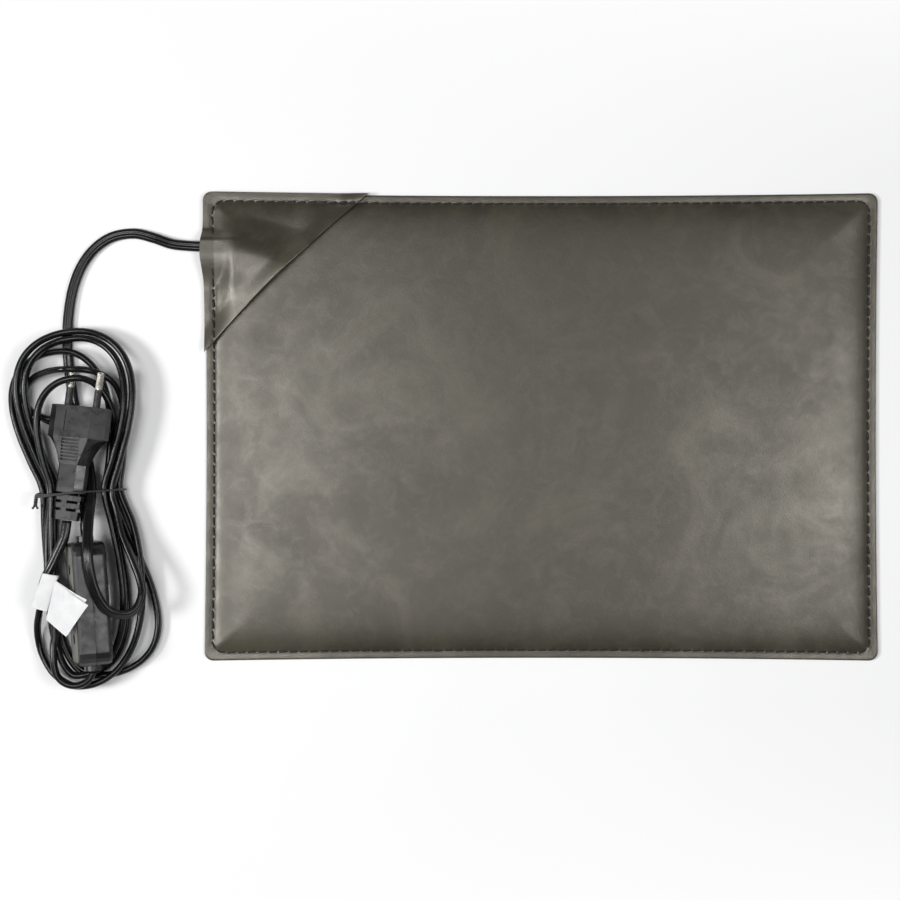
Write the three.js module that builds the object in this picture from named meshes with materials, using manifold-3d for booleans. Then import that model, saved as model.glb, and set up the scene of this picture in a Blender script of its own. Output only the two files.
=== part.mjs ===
// Heated mouse mat with a corner patch, an inline switch and a two-pin plug on a bundled flat twin cord.
// Millimetres, +Z up, +Y away from the user; the origin is the middle of the mat's underside.

import * as THREE from "three";
import { mergeVertices } from "three/addons/utils/BufferGeometryUtils.js";
import Module from "manifold-3d";

const wasm = await Module();
wasm.setup();

// Driving dimensions

// A running clearance between neighbours, the glue line between laminated sheets, and one overrun for cuts
const CLEAR = 0.3;
const GLUE = 0.1;
const OVERRUN = 2;

const mat = {
  length: 360,
  width: 250,
  corner: 5,
  plateauCorner: 11,
  bottomThick: 1,
  topThick: 1,
  edgeRound: 0.4,
  flange: 5.5,
  riseEnd: 12,
  drawInEnds: 1.2,
  drawInSides: 1.6,
};

// Sheets of the heater, from the bottom up, with how far each stays inside the mat's rim
const felt = { thick: 1.6, inset: 13 };
const film = { thick: 0.2, inset: 15 };
const carbon = { thick: 0.15, stripe: 13, gap: 7, inset: 22 };
const busbar = { thick: 0.15, width: 9, cornerSetback: 17 };

// The corner patch: its two legs from the mat's rear left corner, and what it covers
const patch = {
  legAlongX: 88,
  legAlongY: 85,
  thick: 1,
  overhang: 0.8,
  freeEdgeBow: 2.5,
  freeEdgeLift: 1.8,
  freeEdgeLiftWidth: 11,
  lay: 0.4,
};
const entry = { fromRear: 28.6, ridgeReach: 18, ridgeFall: 4.5, ridgeSpare: 0.9 };
const bay = { fromLeft: 14, width: 14, fromRear: 25, length: 26 };
const bump = { fromLeft: 20, fromRear: 41, halfX: 7, halfY: 13, fall: 8, height: 3.6 };
const patchGrid = { fine: 1.4, coarse: 5 };

const cordSize = { width: 5.6, thick: 3.4, groove: 0.35 };
const lead = { diameter: 1.8 };
const clip = { length: 8, width: 7, sheet: 0.5, barrel: 3, bore: 2.4, fromBay: 1 };
const fuse = { diameter: 3.2, length: 7, leadOut: 0.8, fromEntry: 5.4, leadBendShare: 0.75 };
const padCover = { thick: 0.5, length: 5.6 };

const plug = {
  width: 35.3,
  height: 13.7,
  flatTop: 22,
  sideFlat: 4.4,
  fullWidthLength: 16.6,
  neckStart: 31,
  ribStart: 43,
  length: 60,
  neckWidth: 17,
  neckHeight: 10.4,
  endWidth: 13.5,
  endHeight: 8.6,
  hollowShares: { leaveIn: 0.55, leaveAlong: 0.12, meetAlong: 0.4 },
};
const plugRib = { count: 3, pitch: 4.1, slot: 1.5, web: 3.2 };
const plugGrip = { count: 7, pitch: 1.75, ridge: 0.8, width: 11, depth: 1, start: 17.5 };
const plugPanel = { width: 10, length: 11, depth: 0.4, start: 2.6 };
const pin = { diameter: 4, length: 19, spacing: 18, neck: 2.6, shank: 8, tipStart: 10, tipRound: 0.9 };
const pinTip = { shoulderShare: 0.86, shoulderDepthShare: 0.35, endShare: 0.5 };
const sleeve = { outer: 3.9, length: 9.6 };

const inline = {
  length: 65,
  width: 26,
  thick: 18,
  corner: 7,
  bevel: 2,
  bevelShare: 0.3,
  wall: 1.8,
  neckLength: 3,
  neckWidth: 9.5,
};
const rocker = { length: 19, width: 10.5, proud: 1.6, under: 3, underLength: 15, tilt: 7, pivotDown: 2.6 };
const pivot = { diameter: 2 };
const lug = { thick: 2.2, below: 2.4, length: 6 };
const contact = { width: 3.6, thick: 0.8, length: 17, sideways: 6.5, blade: 5 };
const screw = { head: 5, headHeight: 1.6, sunk: 0.8, shank: 2.6, fromMiddle: 18.3, end: 3 };
const boss = { diameter: 6.5 };

// The hank: outer half width at the tie, half height, how far it bellies out, and how its turns lie
const hank = {
  middleX: -243.5,
  middleY: -43.6,
  waist: 22.3,
  halfLength: 94.4,
  bellyShare: 2.6,
  lean: 5,
  turns: 5,
  spiralPitch: 3.95,
  layerGap: 0.5,
  floor: 0.1,
  rise: 4.2,
  startShare: -0.09,
  endShare: 4.86,
  climbShare: 0.11,
};
const tie = { diameter: 1.2, y: -33.5, tail: 4 };
const tieHeightShares = { tail: 0.8, loop: 0.85, side: 0.4, twist: 0.35, under: 0.6, end: 0.65 };
const label = { thick: 0.5 };
const flatLabel = { width: 8.5, length: 20, x: -264.6, y: -87.5, turn: -19 };
const leaningLabel = { width: 22, length: 26, x: -251.4, y: -96.9, turn: 30, tilt: 43 };

// Where the loose pieces lie beside the mat
const plugPlace = { x: -242.5, y: 10.4, z: 16.5, roll: 24, lean: 7, dip: 3 };
const inlinePlace = { x: -239, y: -93, z: 15.7, lean: 4, tilt: 20 };

// Heights of the laminated stack
const feltBase = mat.bottomThick + GLUE;
const filmLowerBase = feltBase + felt.thick + GLUE;
const carbonBase = filmLowerBase + film.thick + GLUE;
const busbarBase = carbonBase + carbon.thick + GLUE;
const filmUpperBase = busbarBase + busbar.thick + GLUE;
const plateauUnder = filmUpperBase + film.thick + GLUE;
const flangeUnder = mat.bottomThick + GLUE;
const plateauTop = plateauUnder + mat.topThick;
const flangeTop = flangeUnder + mat.topThick;

const halfLength = mat.length / 2;
const halfWidth = mat.width / 2;

// Materials

function material(color, roughness, metalness = 0) {
  return new THREE.MeshStandardMaterial({ color, roughness, metalness });
}

const leather = material(0x5a5850, 0.6);
const lining = material(0x4a4842, 0.8);
const feltGrey = material(0x9a9a96, 0.95);
const filmClear = material(0xb9b39a, 0.35);
const carbonBlack = material(0x1b1b1d, 0.7);
const copper = material(0xb8703f, 0.35, 1);
const tinned = material(0xb5b5b0, 0.35, 1);
const nickel = material(0xc9c4b8, 0.25, 1);
const steel = material(0x9b9b9b, 0.4, 1);
const blackPlastic = material(0x1d1e20, 0.45);
const blackVinyl = material(0x222326, 0.35);
const heatRed = material(0x8e3a2a, 0.5);
const whiteSleeve = material(0xd9d6cc, 0.6);
const paper = material(0xf0f0ee, 0.8);

// Solids and joins

function solidOf(geometry) {
  const bare = geometry.index ? geometry.toNonIndexed() : geometry.clone();
  bare.deleteAttribute("normal");
  bare.deleteAttribute("uv");
  const merged = mergeVertices(bare, 1e-4);
  return new wasm.Manifold(
    new wasm.Mesh({
      numProp: 3,
      vertProperties: merged.attributes.position.array,
      triVerts: new Uint32Array(merged.index.array),
    }),
  );
}

function geometryOf(solid) {
  const mesh = solid.getMesh();
  const geometry = new THREE.BufferGeometry();
  geometry.setAttribute("position", new THREE.BufferAttribute(mesh.vertProperties, 3));
  geometry.setIndex(new THREE.BufferAttribute(mesh.triVerts, 1));
  geometry.computeVertexNormals();
  return geometry;
}

const fold = (step) => (first, ...rest) => geometryOf(rest.map(solidOf).reduce(step, solidOf(first)));
const join = fold((sum, part) => sum.add(part));
const cut = fold((left, part) => left.subtract(part));
const overlap = fold((left, part) => left.intersect(part));

// A box between two corners
function box(x0, x1, y0, y1, z0, z1) {
  const geometry = new THREE.BoxGeometry(x1 - x0, y1 - y0, z1 - z0);
  return geometry.translate((x0 + x1) / 2, (y0 + y1) / 2, (z0 + z1) / 2);
}

// A flat outline raised from one height to another
function slab(shape, z0, z1, curveSegments = 8) {
  const geometry = new THREE.ExtrudeGeometry(shape, { depth: z1 - z0, bevelEnabled: false, curveSegments });
  return geometry.translate(0, 0, z0);
}

// A closed skin through rings of equal counts, each ring counterclockwise seen from +Z as the rings go up
function skin(rings) {
  const count = rings[0].length;
  const middle = (ring) => {
    const sum = new THREE.Vector3();
    ring.forEach((point) => sum.add(point));
    return sum.divideScalar(count);
  };
  const points = [...rings.flat(), middle(rings[0]), middle(rings.at(-1))];
  const faces = [];
  const first = rings.length * count;
  for (let i = 0; i < count; i++) {
    const next = (i + 1) % count;
    faces.push(first, next, i);
    faces.push(first + 1, first - count + i, first - count + next);
    for (let row = 0; row < rings.length - 1; row++) {
      const a = row * count;
      const b = a + count;
      faces.push(a + i, a + next, b + next);
      faces.push(a + i, b + next, b + i);
    }
  }
  const geometry = new THREE.BufferGeometry().setFromPoints(points);
  geometry.setIndex(faces);
  geometry.computeVertexNormals();
  return geometry;
}

// A round rod between two points
function rod(from, to, diameter, sides = 12) {
  const axis = new THREE.Vector3().subVectors(to, from);
  const geometry = new THREE.CylinderGeometry(diameter / 2, diameter / 2, axis.length(), sides);
  const turn = new THREE.Quaternion();
  turn.setFromUnitVectors(new THREE.Vector3(0, 1, 0), axis.clone().normalize());
  return geometry.applyQuaternion(turn).translate(...from.clone().lerp(to, 0.5).toArray());
}

const model = new THREE.Group();

function add(name, geometry, finish, parent = model) {
  const mesh = new THREE.Mesh(geometry, finish);
  mesh.name = name;
  parent.add(mesh);
  return mesh;
}

// Mat outline

const EDGE_STEPS = 6;
const CORNER_STEPS = 5;

// The stitched sides of the mat are drawn in a little between its corners
function drawIn(point) {
  const across = point.x / halfLength;
  const along = point.y / halfWidth;
  point.x -= mat.drawInEnds * across * (1 - along * along);
  point.y -= mat.drawInSides * along * (1 - across * across);
  return point;
}

const cornerAt = (inset) => {
  const share = THREE.MathUtils.smoothstep(inset, 0, mat.riseEnd);
  return THREE.MathUtils.lerp(mat.corner, mat.plateauCorner, share);
};

// One ring of the mat at a given inset from its rim and at a given height
function matRing(inset, z) {
  const radius = cornerAt(inset);
  const x = halfLength - inset - radius;
  const y = halfWidth - inset - radius;
  const ring = [];
  for (const [quarter, sx, sy] of [
    [0, 1, 1],
    [1, -1, 1],
    [2, -1, -1],
    [3, 1, -1],
  ]) {
    for (let i = 0; i <= CORNER_STEPS; i++) {
      const angle = ((quarter + i / CORNER_STEPS) * Math.PI) / 2;
      ring.push(new THREE.Vector3(sx * x + radius * Math.cos(angle), sy * y + radius * Math.sin(angle), z));
    }
    const from = ring.at(-1).clone();
    const alongX = quarter % 2 === 0;
    const to = alongX ? new THREE.Vector3(-from.x, from.y, z) : new THREE.Vector3(from.x, -from.y, z);
    for (let i = 1; i < EDGE_STEPS; i++) {
      ring.push(from.clone().lerp(to, i / EDGE_STEPS));
    }
  }
  return ring.map(drawIn);
}

// How far inside the rim a place lies, on the same family of rings
function insetAt(x, y) {
  let low = 0;
  let high = mat.riseEnd;
  for (let i = 0; i < 24; i++) {
    const inset = (low + high) / 2;
    const radius = cornerAt(inset);
    const dx = Math.abs(x) - (halfLength - inset - radius);
    const dy = Math.abs(y) - (halfWidth - inset - radius);
    const outside = Math.hypot(Math.max(dx, 0), Math.max(dy, 0)) + Math.min(Math.max(dx, dy), 0) - radius;
    if (outside < 0) low = inset;
    else high = inset;
  }
  return low;
}

const riseShare = (inset) => THREE.MathUtils.smoothstep(inset, mat.flange, mat.riseEnd);
const coverTop = (inset) => THREE.MathUtils.lerp(flangeTop, plateauTop, riseShare(inset));
const coverUnder = (inset) => THREE.MathUtils.lerp(flangeUnder, plateauUnder, riseShare(inset));

// Covers

const RISE_STEPS = 6;
const riseInsets = Array.from({ length: RISE_STEPS + 1 }, (_, i) =>
  THREE.MathUtils.lerp(mat.flange, mat.riseEnd, i / RISE_STEPS),
);

function bottomCover() {
  return skin([
    matRing(mat.edgeRound, 0),
    matRing(0, mat.edgeRound),
    matRing(0, mat.bottomThick - mat.edgeRound / 2),
    matRing(mat.edgeRound / 2, mat.bottomThick),
  ]);
}

const leftEdge = -halfLength;
const rearEdge = halfWidth;
const bayBox = {
  x0: leftEdge + bay.fromLeft,
  x1: leftEdge + bay.fromLeft + bay.width,
  y0: rearEdge - bay.fromRear - bay.length,
  y1: rearEdge - bay.fromRear,
};

function bayCut(z0, z1) {
  return box(bayBox.x0, bayBox.x1, bayBox.y0, bayBox.y1, z0, z1);
}

// The top cover is a dished sheet: its underside from the middle out, then its upper side back in
function topCover() {
  const under = [...riseInsets].reverse().map((inset) => matRing(inset, coverUnder(inset)));
  const over = riseInsets.map((inset) => matRing(inset, coverTop(inset)));
  const rim = [
    matRing(mat.edgeRound / 2, flangeUnder),
    matRing(0, flangeUnder + mat.edgeRound / 2),
    matRing(0, flangeTop - mat.edgeRound),
    matRing(mat.edgeRound, flangeTop),
  ];
  return cut(skin([...under, ...rim, ...over]), bayCut(0, plateauTop + OVERRUN));
}

// Heater sheets

function sheet(inset, z0, thick) {
  return box(-halfLength + inset, halfLength - inset, -halfWidth + inset, halfWidth - inset, z0, z0 + thick);
}

const carbonHalfX = halfLength - carbon.inset;
const busHalfY = halfWidth - film.inset - busbar.width;

// The printed stripes run from busbar to busbar and share a band under each of them
function carbonGrid() {
  const z1 = carbonBase + carbon.thick;
  const bandEnd = busHalfY + busbar.width;
  const left = -halfLength + carbon.inset + busbar.cornerSetback;
  const pitch = carbon.stripe + carbon.gap;
  const count = Math.floor((carbonHalfX - left + carbon.gap) / pitch);
  const bands = [-1, 1].map((side) => {
    const near = Math.min(side * busHalfY, side * bandEnd);
    return box(left, carbonHalfX, near, near + busbar.width, carbonBase, z1);
  });
  const stripes = Array.from({ length: count }, (_, i) =>
    box(left + i * pitch, left + i * pitch + carbon.stripe, -bandEnd, bandEnd, carbonBase, z1),
  );
  return join(...bands, ...stripes);
}

const clipX = bayBox.x0 + clip.fromBay + clip.width / 2;
const clipYLive = bayBox.y0 + clip.length / 2 + CLEAR;
const clipYNeutral = bayBox.y1 - clip.length / 2 - CLEAR - entry.ridgeFall;
const busSplit = (clipYLive + clipYNeutral) / 2;

// Each copper strip runs along one long side and turns the corner to end under its clip
function busbarStrip(side) {
  const z1 = busbarBase + busbar.thick;
  const outer = busHalfY + busbar.width;
  const near = Math.min(side * busHalfY, side * outer);
  const run = box(clipX - clip.width / 2, carbonHalfX, near, near + busbar.width, busbarBase, z1);
  const end = side > 0 ? busSplit + CLEAR : busSplit - CLEAR;
  const low = Math.min(end, side * outer);
  const high = Math.max(end, side * outer);
  const leg = box(clipX - clip.width / 2, clipX - clip.width / 2 + busbar.width, low, high, busbarBase, z1);
  return join(run, leg);
}

// A clip's foot lies on the copper and its crimped barrel stands on the foot
const clipBase = busbarBase + busbar.thick + GLUE;
const barrelMiddle = clipBase + clip.sheet + clip.barrel / 2 - CLEAR;

function terminalClip(y, direction) {
  const foot = box(
    clipX - clip.width / 2,
    clipX + clip.width / 2,
    y - clip.length / 2,
    y + clip.length / 2,
    clipBase,
    clipBase + clip.sheet,
  );
  const middle = new THREE.Vector3(clipX, y, barrelMiddle);
  const at = (distance) => middle.clone().addScaledVector(direction, distance);
  const barrel = rod(at(-clip.width / 2), at(clip.width / 2), clip.barrel);
  return cut(join(foot, barrel), rod(at(-clip.width), at(clip.width), clip.bore));
}

function clipPad(y) {
  const low = barrelMiddle + clip.barrel / 2 + CLEAR;
  return box(
    clipX - clip.width / 2,
    clipX + clip.width / 2,
    y - padCover.length / 2,
    y + padCover.length / 2,
    low,
    low + padCover.thick,
  );
}

// The cord comes in over the flange, and its two cores part towards the clips
const entryY = rearEdge - entry.fromRear;
const cordOverCover = (x) => coverTop(insetAt(x, entryY)) + CLEAR + cordSize.thick / 2;
const cordEndX = bayBox.x0 - CLEAR;
const entryX = leftEdge - CLEAR;

// Flat twin section: two round cores with a groove between them. Its width runs along y, or along x if asked.
function twinSection(widthAlongX = false) {
  const radius = cordSize.thick / 2;
  const offset = (cordSize.width - cordSize.thick) / 2;
  const dip = radius - cordSize.groove;
  const points = [];
  for (const side of [1, -1]) {
    for (let i = -2; i <= 2; i++) {
      const angle = (i * Math.PI) / 5;
      const across = -side * radius * Math.sin(angle);
      points.push(new THREE.Vector2(across, side * (offset + radius * Math.cos(angle))));
    }
    points.push(new THREE.Vector2(-dip * side, 0));
  }
  if (widthAlongX) points.forEach((point) => point.rotateAround(new THREE.Vector2(), Math.PI / 2));
  return new THREE.Shape(points);
}

function alongCurve(section, points, steps) {
  const path = new THREE.CatmullRomCurve3(points, false, "catmullrom");
  return new THREE.ExtrudeGeometry(section, { steps, extrudePath: path, bevelEnabled: false });
}

function roundSection(diameter, sides = 8) {
  const points = Array.from({ length: sides }, (_, i) => {
    const angle = (i * 2 * Math.PI) / sides;
    return new THREE.Vector2((diameter / 2) * Math.cos(angle), (diameter / 2) * Math.sin(angle));
  });
  return new THREE.Shape(points);
}

const vectors = (rows) => rows.map((row) => new THREE.Vector3(...row));

function heldCord() {
  const xs = [0, 0.25, 0.5, 0.75, 1].map((share) => THREE.MathUtils.lerp(leftEdge, cordEndX, share));
  return alongCurve(twinSection(true), vectors(xs.map((x) => [x, entryY, cordOverCover(x)])), 5);
}

// The neutral core goes straight to the near clip, the live one by way of the thermal fuse
const coreOffset = (cordSize.width - cordSize.thick) / 2;
const fuseX = bayBox.x1 - CLEAR - fuse.diameter / 2;
const fuseZ = clipBase + CLEAR + fuse.diameter / 2;
const fuseY1 = entryY - fuse.fromEntry;
const fuseY0 = fuseY1 - fuse.length;
const coreStart = cordEndX + CLEAR;

function neutralLead() {
  const z = cordOverCover(cordEndX);
  return alongCurve(
    roundSection(lead.diameter),
    vectors([
      [coreStart, entryY - coreOffset, z],
      [coreStart + lead.diameter, entryY - coreOffset, z],
      [clipX, clipYNeutral + clip.width / 2 + lead.diameter / 2, (z + barrelMiddle) / 2],
      [clipX, clipYNeutral + clip.width / 2, barrelMiddle],
      [clipX, clipYNeutral, barrelMiddle],
    ]),
    12,
  );
}

function liveLeadIn() {
  const z = cordOverCover(cordEndX);
  return alongCurve(
    roundSection(lead.diameter),
    vectors([
      [coreStart, entryY + coreOffset, z],
      [coreStart + lead.diameter, entryY + coreOffset, z],
      [(clipX + fuseX) / 2, entryY + coreOffset, (z + fuseZ) / 2],
      [fuseX - lead.diameter / 2, entryY - coreOffset, fuseZ],
      [fuseX, fuseY1 + fuse.leadOut + lead.diameter, fuseZ],
      [fuseX, fuseY1 + fuse.leadOut + CLEAR, fuseZ],
    ]),
    14,
  );
}

function liveLeadOut() {
  const clipEnd = clipX + clip.width / 2;
  return alongCurve(
    roundSection(lead.diameter),
    vectors([
      [fuseX, fuseY0 - fuse.leadOut - CLEAR, fuseZ],
      [fuseX, fuseY0 - fuse.leadOut - lead.diameter / 2, fuseZ],
      [clipEnd + (fuseX - clipEnd) * fuse.leadBendShare, (fuseY0 + clipYLive) / 2 - lead.diameter / 2, fuseZ],
      [clipEnd, clipYLive, barrelMiddle],
      [clipX, clipYLive, barrelMiddle],
    ]),
    14,
  );
}

function thermalFuse() {
  const profile = [
    [0, -fuse.leadOut],
    [fuse.diameter / 6, -fuse.leadOut],
    [fuse.diameter / 6, 0],
    [fuse.diameter / 2, 0],
    [fuse.diameter / 2, fuse.length],
    [fuse.diameter / 6, fuse.length],
    [fuse.diameter / 6, fuse.length + fuse.leadOut],
    [0, fuse.length + fuse.leadOut],
  ].map(([r, h]) => new THREE.Vector2(r, h));
  return new THREE.LatheGeometry(profile, 12).translate(fuseX, fuseY0, fuseZ);
}

// Corner patch

// A step that is full up to an edge and falls smoothly to nothing over a given width
const falling = (distance, full, fall) => 1 - THREE.MathUtils.smoothstep(distance, full, full + fall);

const patchTipX = leftEdge + patch.legAlongX;
const patchTipY = rearEdge - patch.legAlongY;

// Distance inside the patch's free diagonal edge
function insideFreeEdge(x, y) {
  const edge = new THREE.Vector2(patch.legAlongX, patch.legAlongY);
  return ((x - leftEdge) * -edge.y + (y - patchTipY) * edge.x) / edge.length();
}

const bumpX = leftEdge + bump.fromLeft;
const bumpY = rearEdge - bump.fromRear;

function patchUnder(x, y) {
  const bumpShare =
    falling(Math.abs(x - bumpX), bump.halfX, bump.fall) * falling(Math.abs(y - bumpY), bump.halfY, bump.fall);
  const ridgeShare =
    falling(Math.abs(y - entryY), cordSize.width / 2 + CLEAR, entry.ridgeFall) *
    falling(x - leftEdge, entry.ridgeReach, entry.ridgeFall);
  const ridge = cordSize.thick + entry.ridgeSpare;
  const lift = patch.freeEdgeLift * falling(insideFreeEdge(x, y), 0, patch.freeEdgeLiftWidth);
  return coverTop(insetAt(x, y)) + patch.lay + Math.max(bump.height * bumpShare, ridge * ridgeShare) + lift;
}

function gridLines(start, end, direction) {
  const lines = [start - direction * OVERRUN];
  let distance = 0;
  while (distance < Math.abs(end - start) + OVERRUN) {
    lines.push(start + direction * distance);
    distance += distance < mat.riseEnd ? patchGrid.fine : patchGrid.coarse;
  }
  lines.push(start + direction * distance);
  return direction > 0 ? lines : lines.reverse();
}

function patchSheet() {
  const xs = gridLines(leftEdge, patchTipX, 1);
  const ys = gridLines(rearEdge, patchTipY, -1);
  const points = [];
  for (const rise of [0, patch.thick]) {
    for (const y of ys) {
      for (const x of xs) points.push(drawIn(new THREE.Vector3(x, y, patchUnder(x, y) + rise)));
    }
  }
  const at = (level, row, column) => (level * ys.length + row) * xs.length + column;
  const faces = [];
  const quad = (a, b, c, d) => faces.push(a, b, c, a, c, d);
  for (let r = 0; r < ys.length - 1; r++) {
    for (let c = 0; c < xs.length - 1; c++) {
      quad(at(1, r, c), at(1, r, c + 1), at(1, r + 1, c + 1), at(1, r + 1, c));
      quad(at(0, r, c), at(0, r + 1, c), at(0, r + 1, c + 1), at(0, r, c + 1));
    }
  }
  const lastRow = ys.length - 1;
  const lastColumn = xs.length - 1;
  for (let c = 0; c < lastColumn; c++) {
    quad(at(0, 0, c), at(0, 0, c + 1), at(1, 0, c + 1), at(1, 0, c));
    quad(at(0, lastRow, c + 1), at(0, lastRow, c), at(1, lastRow, c), at(1, lastRow, c + 1));
  }
  for (let r = 0; r < lastRow; r++) {
    quad(at(0, r + 1, 0), at(0, r, 0), at(1, r, 0), at(1, r + 1, 0));
    quad(at(0, r, lastColumn), at(0, r + 1, lastColumn), at(1, r + 1, lastColumn), at(1, r, lastColumn));
  }
  const geometry = new THREE.BufferGeometry().setFromPoints(points);
  geometry.setIndex(faces);
  return geometry;
}

function cornerPatch() {
  const left = leftEdge - patch.overhang;
  const rear = rearEdge + patch.overhang;
  const outline = new THREE.Shape();
  outline.moveTo(left, patchTipY);
  outline.quadraticCurveTo(
    (left + patchTipX) / 2 - patch.freeEdgeBow,
    (patchTipY + rear) / 2 + patch.freeEdgeBow,
    patchTipX,
    rear,
  );
  outline.lineTo(left + mat.corner, rear);
  outline.absarc(left + mat.corner, rear - mat.corner, mat.corner, Math.PI / 2, Math.PI, false);
  outline.lineTo(left, patchTipY);
  return overlap(patchSheet(), slab(outline, 0, plateauTop + bump.height + OVERRUN + OVERRUN));
}

add("bottom_cover", bottomCover(), lining);
add("top_cover", topCover(), leather);
add("insulation_felt", sheet(felt.inset, feltBase, felt.thick), feltGrey);
add("heater_film_lower", sheet(film.inset, filmLowerBase, film.thick), filmClear);
add("carbon_grid", carbonGrid(), carbonBlack);
add("busbar_live", busbarStrip(-1), copper);
add("busbar_neutral", busbarStrip(1), copper);
add(
  "heater_film_upper",
  cut(sheet(film.inset, filmUpperBase, film.thick), bayCut(filmUpperBase - OVERRUN, plateauTop)),
  filmClear,
);
add("terminal_clip_live", terminalClip(clipYLive, new THREE.Vector3(1, 0, 0)), tinned);
add("terminal_clip_neutral", terminalClip(clipYNeutral, new THREE.Vector3(0, 1, 0)), tinned);
add("terminal_pad_live", clipPad(clipYLive), whiteSleeve);
add("terminal_pad_neutral", clipPad(clipYNeutral), whiteSleeve);
add("cord_held_end", heldCord(), blackVinyl);
add("lead_neutral", neutralLead(), whiteSleeve);
add("lead_live_to_fuse", liveLeadIn(), heatRed);
add("lead_live_to_clip", liveLeadOut(), heatRed);
add("thermal_fuse", thermalFuse(), tinned);
add("corner_patch", cornerPatch(), leather);

// Frames of the plug and of the inline switch beside the mat

const radians = THREE.MathUtils.degToRad;

const plugFrame = new THREE.Group();
plugFrame.position.set(plugPlace.x, plugPlace.y, plugPlace.z);
plugFrame.rotation.set(-radians(plugPlace.dip), -radians(plugPlace.roll), -radians(plugPlace.lean), "ZXY");
plugFrame.updateMatrix();
model.add(plugFrame);

// The inline switch lies on its side: its length runs down the bundle and its rocker faces the mat
const inlineFrame = new THREE.Group();
const inlineLean = radians(inlinePlace.lean);
const inlineTilt = radians(inlinePlace.tilt);
const inlineAlong = new THREE.Vector3(Math.sin(inlineLean), -Math.cos(inlineLean), 0);
const inlineOut = new THREE.Vector3(Math.cos(inlineTilt), 0, -Math.sin(inlineTilt));
const inlineAcross = new THREE.Vector3().crossVectors(inlineOut, inlineAlong).normalize();
inlineOut.crossVectors(inlineAlong, inlineAcross).normalize();
const inlineBasis = new THREE.Matrix4().makeBasis(inlineAlong, inlineAcross, inlineOut);
inlineFrame.position.set(inlinePlace.x, inlinePlace.y, inlinePlace.z);
inlineFrame.quaternion.setFromRotationMatrix(inlineBasis);
inlineFrame.updateMatrix();
model.add(inlineFrame);

// A place a given distance behind the plug's front, or along the switch from its middle
const onPlugAxis = (distance) => new THREE.Vector3(0, -distance, 0).applyMatrix4(plugFrame.matrix);
const onInlineAxis = (distance) => new THREE.Vector3(distance, 0, 0).applyMatrix4(inlineFrame.matrix);

// Plug

function plugRing(distance, width, flat, height, side) {
  return [
    [width / 2, side / 2],
    [flat / 2, height / 2],
    [-flat / 2, height / 2],
    [-width / 2, side / 2],
    [-width / 2, -side / 2],
    [-flat / 2, -height / 2],
    [flat / 2, -height / 2],
    [width / 2, -side / 2],
  ].map(([x, z]) => new THREE.Vector3(x, -distance, z));
}

// The section's flats narrow with the body, in the proportions of its front
const flatShare = plug.flatTop / plug.width;
const sideShare = plug.sideFlat / plug.height;

const plugSection = (distance, width, height) =>
  plugRing(distance, width, width * flatShare, height, height * sideShare);

// Plan of the plug: full width at the front, then hollowed sides down to the neck
function plugPlan() {
  const half = plug.width / 2;
  const neck = plug.neckWidth / 2;
  const hollow = half - neck;
  const run = plug.neckStart - plug.fullWidthLength;
  const leaveX = half - hollow * plug.hollowShares.leaveIn;
  const leaveY = -plug.fullWidthLength - run * plug.hollowShares.leaveAlong;
  const meetY = -plug.fullWidthLength - run * plug.hollowShares.meetAlong;
  const plan = new THREE.Shape();
  plan.moveTo(half, 0);
  plan.lineTo(half, -plug.fullWidthLength);
  plan.bezierCurveTo(leaveX, leaveY, neck, meetY, neck, -plug.neckStart);
  plan.lineTo(neck, -plug.length - OVERRUN);
  plan.lineTo(-neck, -plug.length - OVERRUN);
  plan.lineTo(-neck, -plug.neckStart);
  plan.bezierCurveTo(-neck, meetY, -leaveX, leaveY, -half, -plug.fullWidthLength);
  plan.lineTo(-half, 0);
  return plan;
}

const plugHeightAt = (distance) =>
  THREE.MathUtils.mapLinear(distance, plug.fullWidthLength, plug.neckStart, plug.height, plug.neckHeight);

function plugBody() {
  const hull = skin([
    plugSection(0, plug.width, plug.height),
    plugSection(plug.fullWidthLength, plug.width, plug.height),
    plugSection(plug.neckStart, plug.neckWidth, plug.neckHeight),
    plugSection(plug.ribStart, plug.neckWidth, plug.neckHeight),
    plugSection(plug.length, plug.endWidth, plug.endHeight),
  ]);
  const plan = slab(plugPlan(), -plug.height, plug.height);
  const cuts = [];
  for (const side of [-1, 1]) {
    for (let i = 0; i < plugRib.count; i++) {
      const y = -plug.ribStart - plugRib.pitch * (i + 1);
      const near = (side * plugRib.web) / 2;
      const far = side * plug.neckWidth;
      cuts.push(
        box(Math.min(near, far), Math.max(near, far), y, y + plugRib.slot, -plug.neckHeight, plug.neckHeight),
      );
    }
    for (let i = 0; i < plugGrip.count; i++) {
      const distance = plugGrip.start + plugGrip.pitch * i;
      const floor = plugHeightAt(distance + plugGrip.pitch / 2) / 2 - plugGrip.depth;
      const z0 = side > 0 ? floor : -plug.height;
      const z1 = side > 0 ? plug.height : -floor;
      const y = -distance - plugGrip.pitch + plugGrip.ridge;
      cuts.push(box(-plugGrip.width / 2, plugGrip.width / 2, y, -distance, z0, z1));
    }
    const bore = pin.neck + 2 * CLEAR;
    const x = (side * pin.spacing) / 2;
    const deep = new THREE.Vector3(x, -pin.shank - CLEAR, 0);
    cuts.push(rod(deep, new THREE.Vector3(x, OVERRUN, 0), bore));
  }
  const panelY = -plugPanel.start - plugPanel.length;
  const panelZ = plug.height / 2 - plugPanel.depth;
  cuts.push(box(-plugPanel.width / 2, plugPanel.width / 2, panelY, -plugPanel.start, panelZ, plug.height));
  return cut(overlap(hull, plan), ...cuts);
}

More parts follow.
